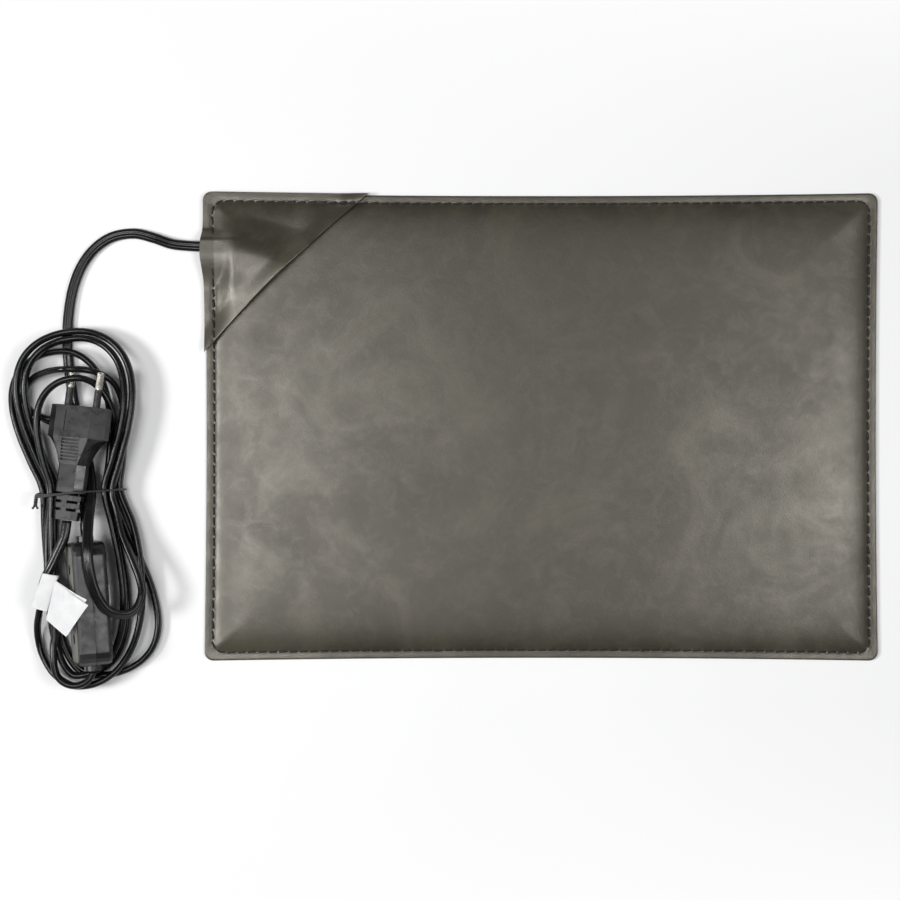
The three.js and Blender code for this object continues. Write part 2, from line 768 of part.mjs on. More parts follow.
function plugPin() {
  const tip = pin.diameter / 2;
  const profile = [
    [0, -pin.shank],
    [pin.neck / 2, -pin.shank],
    [pin.neck / 2, pin.tipStart],
    [tip, pin.tipStart],
    [tip, pin.length - pin.tipRound],
    [tip * pinTip.shoulderShare, pin.length - pin.tipRound * pinTip.shoulderDepthShare],
    [tip * pinTip.endShare, pin.length],
    [0, pin.length],
  ].map(([r, y]) => new THREE.Vector2(r, y));
  return new THREE.LatheGeometry(profile, 16);
}

function pinSleeve() {
  const inner = pin.neck / 2 + CLEAR;
  const profile = [
    [inner, CLEAR],
    [sleeve.outer / 2, CLEAR],
    [sleeve.outer / 2, sleeve.length],
    [inner, sleeve.length],
    [inner, CLEAR],
  ].map(([r, y]) => new THREE.Vector2(r, y));
  return new THREE.LatheGeometry(profile, 16);
}

add("plug_body", plugBody(), blackPlastic, plugFrame);
for (const [name, side] of [
  ["left", -1],
  ["right", 1],
]) {
  const x = (side * pin.spacing) / 2;
  add("plug_pin_" + name, plugPin().translate(x, 0, 0), nickel, plugFrame);
  add("pin_sleeve_" + name, pinSleeve().translate(x, 0, 0), blackPlastic, plugFrame);
}

// Inline switch

const INLINE_CORNER_STEPS = 4;

function inlineRing(inset, z) {
  const radius = inline.corner - inset;
  const x = inline.length / 2 - inline.corner;
  const y = inline.width / 2 - inline.corner;
  const ring = [];
  for (const [quarter, sx, sy] of [
    [0, 1, 1],
    [1, -1, 1],
    [2, -1, -1],
    [3, 1, -1],
  ]) {
    for (let i = 0; i <= INLINE_CORNER_STEPS; i++) {
      const angle = ((quarter + i / INLINE_CORNER_STEPS) * Math.PI) / 2;
      ring.push(new THREE.Vector3(sx * x + radius * Math.cos(angle), sy * y + radius * Math.sin(angle), z));
    }
  }
  return ring;
}

const halfThick = inline.thick / 2;
const inlineFloor = -halfThick + inline.wall;
const screwPlaces = [-screw.fromMiddle, screw.fromMiddle];

function post(x, z0, z1, diameter) {
  return rod(new THREE.Vector3(x, 0, z0), new THREE.Vector3(x, 0, z1), diameter, 16);
}

// Either half as seen from the seam: rounded outer edges, a neck at each end, a pocket and two screw posts
function inlineHalf() {
  const shell = skin([
    inlineRing(inline.bevel, -halfThick),
    inlineRing(inline.bevel * inline.bevelShare, -halfThick + inline.bevel * inline.bevelShare),
    inlineRing(0, -halfThick + inline.bevel),
    inlineRing(0, -GLUE / 2),
  ]);
  const reach = inline.length / 2 + inline.neckLength;
  const neckEnds = [new THREE.Vector3(-reach, 0, 0), new THREE.Vector3(reach, 0, 0)];
  const lower = box(-reach - OVERRUN, reach + OVERRUN, -inline.width, inline.width, -inline.thick, -GLUE / 2);
  const neck = overlap(rod(...neckEnds, inline.neckWidth, 16), lower);
  const pocket = skin([inlineRing(inline.wall, inlineFloor), inlineRing(inline.wall, OVERRUN)]);
  const posts = screwPlaces.map((x) => post(x, -halfThick + inline.wall / 2, -GLUE / 2, boss.diameter));
  return join(cut(join(shell, neck), pocket), ...posts);
}

const headSeat = -halfThick + screw.sunk + screw.headHeight + CLEAR;

function inlineBase() {
  const cuts = screwPlaces.flatMap((x) => [
    post(x, -inline.thick, headSeat, screw.head + 2 * CLEAR),
    post(x, -inline.thick, OVERRUN, screw.shank + 2 * CLEAR),
  ]);
  return cut(inlineHalf(), ...cuts);
}

const pivotZ = halfThick - rocker.pivotDown;
const tilt = radians(rocker.tilt);
const rockerPeak = rocker.pivotDown + rocker.proud;
const rockerEnd = rockerPeak - (rocker.length / 2) * Math.tan(tilt);

function inlineCover() {
  const half = inlineHalf().rotateX(Math.PI);
  const windowX = Math.hypot(rocker.length / 2, rockerEnd) + CLEAR;
  const windowY = rocker.width / 2 + CLEAR;
  const window = box(-windowX, windowX, -windowY, windowY, halfThick - inline.wall - OVERRUN, inline.thick);
  const lugs = [-1, 1].map((side) => {
    const near = side * windowY;
    const far = side * (windowY + lug.thick);
    const y0 = Math.min(near, far);
    const y1 = Math.max(near, far);
    return box(-lug.length / 2, lug.length / 2, y0, y1, pivotZ - lug.below, halfThick - inline.wall / 2);
  });
  const reach = windowY + lug.thick + OVERRUN;
  const boreEnds = [-reach, reach].map((y) => new THREE.Vector3(0, y, pivotZ));
  const bore = rod(...boreEnds, pivot.diameter + 2 * CLEAR);
  const pilots = screwPlaces.map((x) => post(x, -OVERRUN, halfThick - screw.end, screw.shank + 2 * CLEAR));
  return cut(join(half, ...lugs), window, bore, ...pilots);
}

// The rocker is peaked, so that the half pressed down lies flush and the other half stands proud
function rockerShape() {
  const side = new THREE.Shape();
  side.moveTo(-rocker.length / 2, rockerEnd);
  side.lineTo(-rocker.length / 2, 0);
  side.lineTo(-rocker.underLength / 2, -rocker.under);
  side.lineTo(rocker.underLength / 2, -rocker.under);
  side.lineTo(rocker.length / 2, 0);
  side.lineTo(rocker.length / 2, rockerEnd);
  side.lineTo(0, rockerPeak);
  const hole = new THREE.Path();
  hole.absarc(0, 0, pivot.diameter / 2 + CLEAR, 0, 2 * Math.PI);
  side.holes.push(hole);
  return slab(side, -rocker.width / 2, rocker.width / 2, 6).rotateX(Math.PI / 2);
}

function screwShape() {
  const top = screw.headHeight;
  const length = 2 * halfThick - screw.sunk - screw.end - CLEAR;
  const profile = [
    [0, 0],
    [screw.head / 2, 0],
    [screw.head / 2, top],
    [screw.shank / 2, top],
    [screw.shank / 2, length],
    [0, length],
  ].map(([r, y]) => new THREE.Vector2(r, y));
  return new THREE.LatheGeometry(profile, 16).rotateX(Math.PI / 2);
}

const contactBase = inlineFloor + CLEAR;

// A flat strip on the floor of the base, with an upright blade at its inner end
function contactStrip(side) {
  const outer = side * (contact.blade + contact.length);
  const inner = side * contact.blade;
  const bladeEnd = side * (contact.blade + contact.thick);
  const y0 = -contact.sideways - contact.width / 2;
  const strip = box(
    Math.min(inner, outer),
    Math.max(inner, outer),
    y0,
    y0 + contact.width,
    contactBase,
    contactBase + contact.thick,
  );
  const blade = box(
    Math.min(inner, bladeEnd),
    Math.max(inner, bladeEnd),
    y0,
    y0 + contact.width,
    contactBase,
    contactBase + contact.blade,
  );
  return join(strip, blade);
}

function neutralLink() {
  const reach = contact.blade + contact.length;
  const y0 = contact.sideways - contact.width / 2;
  return box(-reach, reach, y0, y0 + contact.width, contactBase, contactBase + contact.thick);
}

add("switch_base", inlineBase(), blackPlastic, inlineFrame);
add("switch_cover", inlineCover(), blackPlastic, inlineFrame);
const rockerMesh = add("switch_rocker", rockerShape(), blackPlastic, inlineFrame);
rockerMesh.position.set(0, 0, pivotZ);
rockerMesh.rotation.y = tilt;
const pivotReach = rocker.width / 2 + CLEAR + lug.thick;
const pivotEnds = [-pivotReach, pivotReach].map((y) => new THREE.Vector3(0, y, pivotZ));
add("switch_pivot_pin", rod(...pivotEnds, pivot.diameter), steel, inlineFrame);
screwPlaces.forEach((x, i) => {
  const geometry = screwShape().translate(x, 0, -halfThick + screw.sunk);
  add("switch_screw_" + (i + 1), geometry, steel, inlineFrame);
});
add("contact_from_plug", contactStrip(1), tinned, inlineFrame);
add("contact_to_mat", contactStrip(-1), tinned, inlineFrame);
add("neutral_link", neutralLink(), tinned, inlineFrame);

// Cord from the mat to the switch: out of the patch, over the table and under the bundle to the switch

const inlineTop = -(inline.length / 2 + inline.neckLength + CLEAR);
const inlineBottom = -inlineTop;
const floorZ = cordSize.thick / 2 + GLUE;

const freeRoute = vectors([
  [entryX, entryY, cordOverCover(leftEdge)],
  [entryX - cordSize.width, entryY, cordOverCover(leftEdge)],
  [-197, 97.6, 3.4],
  [-207, 101, 2.2],
  [-217.5, 103.4, floorZ],
  [-229, 101.6, floorZ],
  [-238.5, 95.4, floorZ],
  [-245.6, 86, floorZ],
  [-250.2, 74, floorZ],
  [-252.6, 60, floorZ],
  [-253.2, 46, floorZ],
  [-252.4, 32, floorZ],
  [-250.6, 18, floorZ],
  [-248.4, 4, floorZ],
  [-246.2, -10, 2.1],
  [-244.4, -21, 3.9],
  [-243.2, -31, 7.4],
  [-242.4, -40, 11.8],
  [-241.9, -47.5, 14.9],
]);
freeRoute.push(onInlineAxis(inlineTop - cordSize.width), onInlineAxis(inlineTop));
add("cord_mat_to_switch", alongCurve(twinSection(), freeRoute, 44), blackVinyl);

// Hank: turns on edge in two layers, spiralling out in the upper one and in again in the lower one

const hankLow = hank.middleY - hank.halfLength;

function hankPoint(turn) {
  const angle = Math.PI - 2 * Math.PI * turn;
  const inset = hank.spiralPitch * Math.abs(hank.turns / 2 - turn);
  const across = (hank.waist - inset) * Math.cos(angle);
  const up = Math.sin(angle);
  const y = hank.middleY + (hank.halfLength - inset) * up;
  const middle = hank.turns / 2;
  const upper = 1 - THREE.MathUtils.smoothstep(turn, middle - hank.climbShare, middle + hank.climbShare);
  return new THREE.Vector3(
    hank.middleX + across * (1 + hank.bellyShare * up * up) - hank.lean * up,
    y,
    hankFloor(y) + cordSize.width / 2 + upper * (cordSize.width + hank.layerGap),
  );
}

// The bundle lies on the table at its lower end and on the cord under it at its upper end
function hankFloor(y) {
  return hank.floor + (hank.rise * (y - hankLow)) / (2 * hank.halfLength);
}

const TURN_STEPS = 24;
const hankStart = vectors([
  [-237.2, -139.2, 15.7],
  [-241.2, -143.2, 15.7],
  [-246.8, -144.4, 15.7],
  [-252.2, -141.8, 15.7],
  [-255.6, -136.4, 15.7],
  [-258, -128, 15.7],
  [-260, -119, 15],
  [-261, -109, 12.8],
  [-261.3, -99, 10.9],
]);
const hankEnd = vectors([
  [-258.8, -101, 3.9],
  [-256.2, -91, 5.8],
  [-254.8, -81.5, 9.2],
  [-254.3, -73, 13],
  [-253.6, -65, 16.6],
]);
const turnSteps = Math.round((hank.endShare - hank.startShare) * TURN_STEPS);
const hankTurns = Array.from({ length: turnSteps + 1 }, (_, i) =>
  hankPoint(THREE.MathUtils.lerp(hank.startShare, hank.endShare, i / turnSteps)),
);
const hankRoute = [
  onInlineAxis(inlineBottom),
  onInlineAxis(inlineBottom + cordSize.width),
  ...hankStart,
  ...hankTurns,
  ...hankEnd,
  onPlugAxis(plug.length + CLEAR + cordSize.width),
  onPlugAxis(plug.length + CLEAR),
];

// Rings of a six-sided section standing on edge along a route
function onEdgeRings(route, width, thick) {
  const up = new THREE.Vector3(0, 0, 1);
  return route.map((point, i) => {
    const tangent = new THREE.Vector3()
      .subVectors(route[Math.min(i + 1, route.length - 1)], route[Math.max(i - 1, 0)])
      .normalize();
    const side = new THREE.Vector3().crossVectors(tangent, up).normalize();
    const over = new THREE.Vector3().crossVectors(side, tangent);
    return [
      [-0.5, 0.25],
      [0, 0.5],
      [0.5, 0.25],
      [0.5, -0.25],
      [0, -0.5],
      [-0.5, -0.25],
    ].map(([s, u]) => point.clone().addScaledVector(side, s * thick).addScaledVector(over, u * width));
  });
}

const GAP_SAMPLES = 4;
const GAP_NEIGHBOUR_WIDTHS = 3;
const GAP_REACH_WIDTHS = 2;

// The least gap between stretches of the cord that aren't neighbours along it, measured on points of its skin
function leastGap(route, width, thick) {
  const fine = new THREE.CatmullRomCurve3(route).getSpacedPoints(route.length * GAP_SAMPLES);
  const rings = onEdgeRings(fine, width, thick);
  const step = fine[0].distanceTo(fine[1]);
  const apart = Math.ceil((GAP_NEIGHBOUR_WIDTHS * width) / step);
  let least = Infinity;
  for (let i = 0; i < rings.length; i++) {
    for (let j = i + apart; j < rings.length; j++) {
      if (fine[i].distanceTo(fine[j]) > GAP_REACH_WIDTHS * width) continue;
      for (const a of rings[i]) {
        for (const b of rings[j]) least = Math.min(least, a.distanceTo(b));
      }
    }
  }
  return least;
}

function lengthOf(route) {
  return route.reduce((sum, point, i) => (i ? sum + point.distanceTo(route[i - 1]) : 0), 0);
}

add("cord_hank", skin(onEdgeRings(hankRoute, cordSize.width, cordSize.thick)), blackVinyl);
const hankGap = leastGap(hankRoute, cordSize.width, cordSize.thick);
const cordLengths = [freeRoute, hankRoute].map((route) => lengthOf(route).toFixed(0));
console.log("hank: least gap to itself " + hankGap.toFixed(2) + " mm");
console.log("cord lengths " + cordLengths.join(" and ") + " mm");

// Wire tie round the waist of the bundle, over the plug's neck

function wireTie() {
  const side = hank.waist + cordSize.thick / 2 + CLEAR + tie.diameter;
  const low = tie.diameter / 2 + 2 * CLEAR;
  const top = hankFloor(tie.y) + 2 * cordSize.width + hank.layerGap + tie.diameter + CLEAR;
  const neck = onPlugAxis(plug.ribStart);
  const neckRise = (plug.neckWidth / 2) * Math.sin(radians(plugPlace.roll));
  const neckTop = neck.z + neckRise + plug.neckHeight / 2 + tie.diameter;
  const left = hank.middleX - side;
  const right = hank.middleX + side;
  const shares = Object.entries(tieHeightShares);
  const heights = Object.fromEntries(shares.map(([place, share]) => [place, top * share]));
  const route = vectors([
    [left - tie.diameter, tie.y - tie.tail, heights.tail],
    [left - tie.diameter / 2, tie.y - tie.tail / 2, heights.tail],
    [left, tie.y, heights.loop],
    [left + tie.tail, tie.y, top + tie.diameter],
    [neck.x - plug.neckWidth / 2, tie.y, neck.z + plug.neckHeight / 2],
    [neck.x + plug.neckWidth / 4, tie.y, neckTop],
    [neck.x + plug.neckWidth / 2 + tie.diameter, tie.y, neckTop],
    [right - tie.tail, tie.y, top + tie.diameter],
    [right, tie.y, heights.tail],
    [right, tie.y, heights.side],
    [right - tie.tail / 2, tie.y, low],
    [hank.middleX, tie.y, low],
    [left + tie.tail / 2, tie.y, low],
    [left, tie.y, heights.twist],
    [left - tie.diameter, tie.y - tie.tail / 2, heights.under],
    [left - tie.diameter, tie.y - tie.tail, heights.end],
  ]);
  return alongCurve(roundSection(tie.diameter, 6), route, 60);
}

add("wire_tie", wireTie(), blackVinyl);

// Paper flags: one lies flat on the left strands, the other leans over the edge of the switch

function flag(along, across) {
  return box(-along / 2, along / 2, -across / 2, across / 2, 0, label.thick);
}

const bundleTop = (y) => hankFloor(y) + 2 * cordSize.width + hank.layerGap;
const flatFlag = add("cord_label_1", flag(flatLabel.width, flatLabel.length), paper);
flatFlag.position.set(flatLabel.x, flatLabel.y, bundleTop(flatLabel.y) + CLEAR);
flatFlag.rotation.z = radians(flatLabel.turn);

const inlineEdge = new THREE.Vector3(0, -inline.width / 2, -halfThick).applyMatrix4(inlineFrame.matrix);
const flagSlope = Math.tan(radians(leaningLabel.tilt));
const leaningFlag = add("cord_label_2", flag(leaningLabel.length, leaningLabel.width), paper);
leaningFlag.position.set(
  leaningLabel.x,
  leaningLabel.y,
  inlineEdge.z + flagSlope * (leaningLabel.x - inlineEdge.x) + label.thick + CLEAR,
);
leaningFlag.rotation.set(0, -radians(leaningLabel.tilt), -radians(leaningLabel.turn), "YXZ");

export default model;
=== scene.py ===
"""A heated mouse mat in olive-grey leather, with its flat twin cord bundled beside it. Sizes in millimetres."""

import math

import bmesh
import bpy
import numpy as np
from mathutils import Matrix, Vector


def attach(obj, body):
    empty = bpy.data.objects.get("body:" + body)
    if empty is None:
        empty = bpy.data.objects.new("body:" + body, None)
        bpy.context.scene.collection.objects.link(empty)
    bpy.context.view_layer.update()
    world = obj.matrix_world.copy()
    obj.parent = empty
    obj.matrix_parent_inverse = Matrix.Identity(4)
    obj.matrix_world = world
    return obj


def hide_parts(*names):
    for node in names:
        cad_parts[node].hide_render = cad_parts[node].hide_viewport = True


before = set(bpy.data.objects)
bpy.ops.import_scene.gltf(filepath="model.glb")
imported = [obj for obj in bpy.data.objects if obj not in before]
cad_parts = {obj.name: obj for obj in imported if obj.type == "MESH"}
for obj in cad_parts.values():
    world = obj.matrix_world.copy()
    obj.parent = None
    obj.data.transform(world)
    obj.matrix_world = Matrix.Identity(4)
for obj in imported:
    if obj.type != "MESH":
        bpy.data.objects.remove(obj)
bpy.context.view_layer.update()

MM = 0.001
BODY = "mat"

# Mat
MAT_X, MAT_Y = 180.0, 125.0
MAT_CORNER, PLATEAU_CORNER = 5.0, 11.0
BOTTOM_TOP, GLUE, COVER_THICK = 1.0, 0.1, 1.0
COVER_UNDER = BOTTOM_TOP + GLUE
FLANGE_TOP = COVER_UNDER + COVER_THICK
FLANGE, RISE_END = 5.5, 12.0
PLATEAU_TOP = 4.9
DRAW_IN_ENDS, DRAW_IN_SIDES = 1.2, 1.6
LEAST_SKIN = 0.25

# How far inside the rim the leather starts to climb, and how gently it does
CLIMB_START, CLIMB_LENGTH = 5.2, 8.0

# Points of a ring round the mat: at each corner, and along the long and the short sides
CORNER_STEPS, SIDE_STEPS = 8, (250, 172)
INNER_INSETS = [13.5, 16, 20, 26, 33, 41, 50, 60, 71, 82, 93, 104, 112]
SEAM_INSETS = [1.0, 1.9, 2.6, 3.1, 3.5, 3.85, 4.2, 4.55, 4.9, 5.3, 5.8]
RISE_INSETS = [6.5, 7.3, 8.1, 8.9, 9.7, 10.5, 11.2, 12.0]

# Sewing
STITCH_INSET, STITCH_PITCH, STITCH_LENGTH, THREAD = 4.2, 5.55, 4.2, 1.0
CHANNEL_DEPTH, CHANNEL_WIDTH, HOLE_WIDTH = 0.45, 1.5, 0.7

# Corner patch
LEG_X, LEG_Y = 88.0, 85.0
PATCH_THICK, PATCH_LAY, OVERHANG = 1.0, 0.4, 0.8
EDGE_BOW, EDGE_LIFT, EDGE_LIFT_WIDTH = 2.5, 1.8, 11.0
ENTRY_Y = MAT_Y - 28.6
RIDGE_REACH, RIDGE_SPARE = 14.0, 0.9
RIDGE_FALL_FAR, RIDGE_FALL_NEAR, RIDGE_FALL_IN = 6.5, 21.0, 14.0
ENTRY_BOW, ENTRY_BOW_Y = 1.7, 11.0
CREST, CREST_Y, BUMP_HEIGHT = (51.0, 13.5), 97.5, 5.3

# Bay under the patch, where the wiring lies
BAY_X, BAY_Y, BAY_Z = (-166.0, -152.0), (74.0, 100.0), (0.1, 12.0)

# Cord, its tie and its labels
CORD_WIDTH, CORD_THICK, CORD_GROOVE = 5.6, 3.4, 0.35
TIE_Y = -33.5
TIE_RADIUS, TWIST_RADIUS = 0.6, 0.55
PAPER_THICK = 0.22

# Floor, light and camera, in metres where a name doesn't say MM. The floor turns white beyond the
# object's span, which is given as a middle and a half size.
FLOOR_HALF_MM, FLOOR_Z_MM = 1800, -0.05
OBJECT_SPAN = (("X", -0.05, 0.235), ("Y", -0.01, 0.14))
WHITE_AFTER = 0.13
CEILING_COLOUR, CEILING_STRENGTH = (0.97, 0.985, 1, 1), 0.12
SURROUND_FULL, SURROUND_GONE = 0.2, 0.45
LAMPS = {
    "key": ((-1.62, -0.12, 1.5), (-0.15, 0, 0), 0.5, 22.8),
    "sheen_left": ((-0.5, 0.04, 1.25), (-0.15, 0, 0), 0.5, 4.7),
    "sheen_patch": ((-0.32, -0.1, 1.25), (-0.13, 0.08, 0), 0.3, 1.7),
    "sheen_right": ((0.55, -0.08, 1.2), (0.05, 0, 0), 0.5, 5.2),
}
CAMERA_PLACE, CAMERA_LENS, CAMERA_SENSOR = (-0.0487, -0.0123, 1.0), 74.7, 36

rng = np.random.default_rng(7)


def smooth(a, b, x):
    """0 below a, 1 above b, and a smooth step between them."""
    t = np.clip((x - a) / (b - a), 0, 1)
    return t * t * (3 - 2 * t)


def falling(distance, full, fall):
    """1 up to full, and smoothly down to 0 over the fall after it."""
    return 1 - smooth(full, full + fall, distance)


def mesh_object(name, points, faces, material, shade=True):
    """A mesh object from points in millimetres."""
    mesh = bpy.data.meshes.new(name)
    mesh.from_pydata([tuple(p) for p in np.asarray(points, float) * MM], [], [tuple(f) for f in faces])
    mesh.update()
    obj = bpy.data.objects.new(name, mesh)
    bpy.context.scene.collection.objects.link(obj)
    mesh.materials.append(material)
    if shade:
        mesh.polygons.foreach_set("use_smooth", np.ones(len(mesh.polygons), bool))
    return obj


def grid_faces(rows, columns, first=0, closed=False, flip=False):
    """Quads of a grid of points given row by row; closed joins the last column to the first."""
    faces = []
    for r in range(rows - 1):
        for c in range(columns if closed else columns - 1):
            d = (c + 1) % columns
            quad = [r * columns + c, r * columns + d, (r + 1) * columns + d, (r + 1) * columns + c]
            faces.append([first + i for i in (reversed(quad) if flip else quad)])
    return faces


def sharpen(obj, angle=40):
    """Smooth faces with creases where they meet at more than the angle."""
    obj.data.polygons.foreach_set("use_smooth", np.ones(len(obj.data.polygons), bool))
    obj.data.update()
    chosen = {"selected_objects": [obj], "selected_editable_objects": [obj]}
    with bpy.context.temp_override(object=obj, active_object=obj, **chosen):
        bpy.ops.object.shade_smooth_by_angle(angle=math.radians(angle))


# Materials


class Nodes:
    """A node material with the few node kinds that the finishes need."""

    def __init__(self, name):
        self.material = bpy.data.materials.new(name)
        self.material.use_nodes = True
        self.tree = self.material.node_tree
        self.shader = self.tree.nodes["Principled BSDF"]
        self.place = self.add("ShaderNodeTexCoord").outputs["Object"]

    def add(self, kind, **settings):
        node = self.tree.nodes.new(kind)
        for key, value in settings.items():
            setattr(node, key, value)
        return node

    def link(self, source, target):
        self.tree.links.new(source, target)

    def feed(self, value, socket):
        """Sets a number or a colour on the socket, or links an output to it."""
        if isinstance(value, (int, float)):
            socket.default_value = value
        elif isinstance(value, tuple):
            socket.default_value = (*value, 1)
        else:
            self.link(value, socket)

    def stretched(self, scale):
        node = self.add("ShaderNodeMapping")
        node.inputs["Scale"].default_value = scale
        self.link(self.place, node.inputs["Vector"])
        return node.outputs["Vector"]

    def noise(self, size_mm, detail=4.0, rough=0.55, place=None, distortion=0.0):
        node = self.add("ShaderNodeTexNoise")
        node.inputs["Scale"].default_value = 1 / (size_mm * MM)
        node.inputs["Detail"].default_value = detail
        node.inputs["Roughness"].default_value = rough
        node.inputs["Distortion"].default_value = distortion
        self.link(place or self.place, node.inputs["Vector"])
        return node.outputs["Fac"]

    def cells(self, size_mm, feature="F1"):
        node = self.add("ShaderNodeTexVoronoi", feature=feature)
        node.inputs["Scale"].default_value = 1 / (size_mm * MM)
        self.link(self.place, node.inputs["Vector"])
        return node.outputs["Distance"]

    def ramp(self, value, stops):
        node = self.add("ShaderNodeValToRGB")
        elements = node.color_ramp.elements
        while len(elements) < len(stops):
            elements.new(0.5)
        for element, (position, colour) in zip(elements, stops):
            element.position = position
            element.color = (*colour, 1)
        self.link(value, node.inputs["Fac"])
        return node.outputs["Color"]

    def span(self, value, low, high, at=(0.3, 0.7)):
        """The value brought from the span at to low..high."""
        node = self.add("ShaderNodeMapRange")
        node.inputs["From Min"].default_value = at[0]
        node.inputs["From Max"].default_value = at[1]
        node.inputs["To Min"].default_value = low
        node.inputs["To Max"].default_value = high
        self.link(value, node.inputs["Value"])
        return node.outputs["Result"]

    def mix(self, share, a, b):
        node = self.add("ShaderNodeMix", data_type="RGBA")
        for key, value in ((0, share), (6, a), (7, b)):
            self.feed(value, node.inputs[key])
        return node.outputs[2]

    def math(self, operation, a, b):
        node = self.add("ShaderNodeMath", operation=operation)
        for socket, value in zip(node.inputs, (a, b)):
            self.feed(value, socket)
        return node.outputs[0]

    def bump(self, height, distance_mm, strength=1.0, before=None):
        node = self.add("ShaderNodeBump")
        node.inputs["Strength"].default_value = strength
        node.inputs["Distance"].default_value = distance_mm * MM
        self.link(height, node.inputs["Height"])
        if before:
            self.link(before, node.inputs["Normal"])
        return node.outputs["Normal"]

    def finish(self, colour, roughness, normal=None, **constants):
        for key, value in (("Base Color", colour), ("Roughness", roughness), ("Normal", normal)):
            if value is not None:
                self.feed(value, self.shader.inputs[key])
        for key, value in constants.items():
            self.shader.inputs[key.replace("_", " ")].default_value = value
        return self.material


WARM = (1, 0.95, 0.86, 1)


def leather():
    """Fine-grained olive-grey leather with cloudy paler and darker patches."""
    n = Nodes("cover_leather")
    clouds = n.noise(52, 6, 0.62, distortion=0.9)
    dark, middle, pale = (0.017, 0.014, 0.009), (0.0268, 0.0229, 0.0149), (0.06, 0.0535, 0.037)
    tint = n.ramp(clouds, [(0.34, dark), (0.5, middle), (0.68, pale)])
    blotches = n.noise(11, 7, 0.7, distortion=0.5)
    tint = n.mix(n.span(blotches, 0.0, 0.5, (0.46, 0.7)), tint, (0.075, 0.069, 0.05))
    speckle = n.cells(1.1)
    tint = n.mix(n.span(speckle, 0.35, 0.0, (0.05, 0.5)), tint, (0.02, 0.018, 0.012))
    grain = n.cells(1.15, feature="DISTANCE_TO_EDGE")
    fine = n.noise(0.55, 3, 0.6)
    pebbles = n.math("MULTIPLY", n.math("MINIMUM", grain, 0.22), 2.6)
    height = n.math("ADD", pebbles, n.math("MULTIPLY", fine, 0.5))
    soft = n.bump(n.noise(7, 4, 0.6), 0.2, 0.3)
    normal = n.bump(height, 0.08, 0.4, soft)
    patches = n.math("ADD", n.math("MULTIPLY", blotches, 0.5), n.math("MULTIPLY", clouds, 0.5))
    roughness = n.span(patches, 0.44, 0.3, (0.35, 0.65))
    return n.finish(tint, roughness, normal, Specular_IOR_Level=0.85, Specular_Tint=WARM)


def lining():
    """The duller, woven-backed leather of the underside."""
    n = Nodes("lining_leather")
    tint = n.mix(n.span(n.noise(14, 5), 0.0, 1.0, (0.35, 0.65)), (0.075, 0.072, 0.06), (0.105, 0.1, 0.084))
    weave = n.bump(n.cells(0.9), 0.08, 0.6)
    return n.finish(tint, n.span(n.noise(3), 0.6, 0.75), weave, Specular_IOR_Level=0.35)


def thread():
    n = Nodes("sewing_thread")
    wave = n.add("ShaderNodeTexWave", wave_type="BANDS", bands_direction="DIAGONAL")
    wave.inputs["Scale"].default_value = 1 / (0.9 * MM)
    n.link(n.place, wave.inputs["Vector"])
    tint = n.mix(wave.outputs["Fac"], (0.006, 0.006, 0.0055), (0.018, 0.0175, 0.016))
    return n.finish(tint, n.span(n.noise(1), 0.55, 0.7), n.bump(wave.outputs["Fac"], 0.06, 0.7))


def vinyl(name, base, rough, grain_mm, bump_mm, specular=0.5, rounded_mm=0, sheen_side=None):
    """Moulded or extruded vinyl: slight shade and gloss changes over a fine grain. Its edges may be
    rounded, and the faces turned towards a given side may carry a painted reflection, pale grey in
    patches, as the lamp on that side would light them."""
    n = Nodes(name)
    dust_and_sheen = n.noise(11, 5, 0.6)
    lift = tuple(min(1, c * 1.5 + 0.002) for c in base)
    tint = n.mix(n.span(dust_and_sheen, 0.0, 0.8, (0.38, 0.66)), base, lift)
    specks = n.noise(0.8, 2)
    tint = n.mix(n.span(specks, 0.0, 0.25, (0.62, 0.78)), tint, tuple(min(1, c * 2 + 0.008) for c in base))
    # Painted reflection: faces turned towards the given side are mixed towards pale grey, as if lit by the lamp
    # there, in patches of the dust noise.
    if sheen_side:
        facing = n.add("ShaderNodeVectorMath", operation="DOT_PRODUCT")
        n.link(n.add("ShaderNodeTexCoord").outputs["Normal"], facing.inputs[0])
        facing.inputs[1].default_value = sheen_side
        turned = n.span(facing.outputs["Value"], 0.0, 1.0, (0.93, 0.98))
        tint = n.mix(n.math("MULTIPLY", turned, n.span(dust_and_sheen, 0.6, 1.0)), tint, (0.3, 0.295, 0.265))
    roughness = n.span(n.noise(5, 4), rough[0], rough[1], (0.35, 0.65))
    edges = None
    if rounded_mm:
        softened = n.add("ShaderNodeBevel", samples=6)
        softened.inputs["Radius"].default_value = rounded_mm * MM
        edges = softened.outputs["Normal"]
    normal = n.bump(n.noise(grain_mm, 3, 0.6), bump_mm, 0.8, edges)
    return n.finish(tint, roughness, normal, Specular_IOR_Level=specular)


def metal(name, base, rough, brushed=None):
    n = Nodes(name)
    place = n.stretched(brushed) if brushed else None
    marks = n.noise(0.9, 5, 0.6, place)
    tint = n.mix(n.span(marks, 0.0, 1.0), base, tuple(c * 0.78 for c in base))
    return n.finish(tint, n.span(n.noise(2.5, 4), rough[0], rough[1]), n.bump(marks, 0.012, 0.6), Metallic=1.0)


def paper():
    n = Nodes("label_paper")
    fibre = n.noise(0.7, 5, 0.7)
    tint = n.mix(n.span(n.noise(6, 3), 0.0, 1.0), (0.8, 0.8, 0.795), (0.72, 0.725, 0.735))
    return n.finish(tint, n.span(fibre, 0.5, 0.66), n.bump(fibre, 0.03, 0.7), Specular_IOR_Level=0.35)


def felt():
    n = Nodes("needle_felt")
    fibre = n.noise(0.8, 8, 0.75, n.stretched((1, 0.35, 1)))
    tint = n.mix(n.span(fibre, 0.0, 1.0), (0.22, 0.22, 0.21), (0.42, 0.42, 0.4))
    return n.finish(tint, 0.95, n.bump(fibre, 0.4, 1.0), Sheen_Weight=0.3)


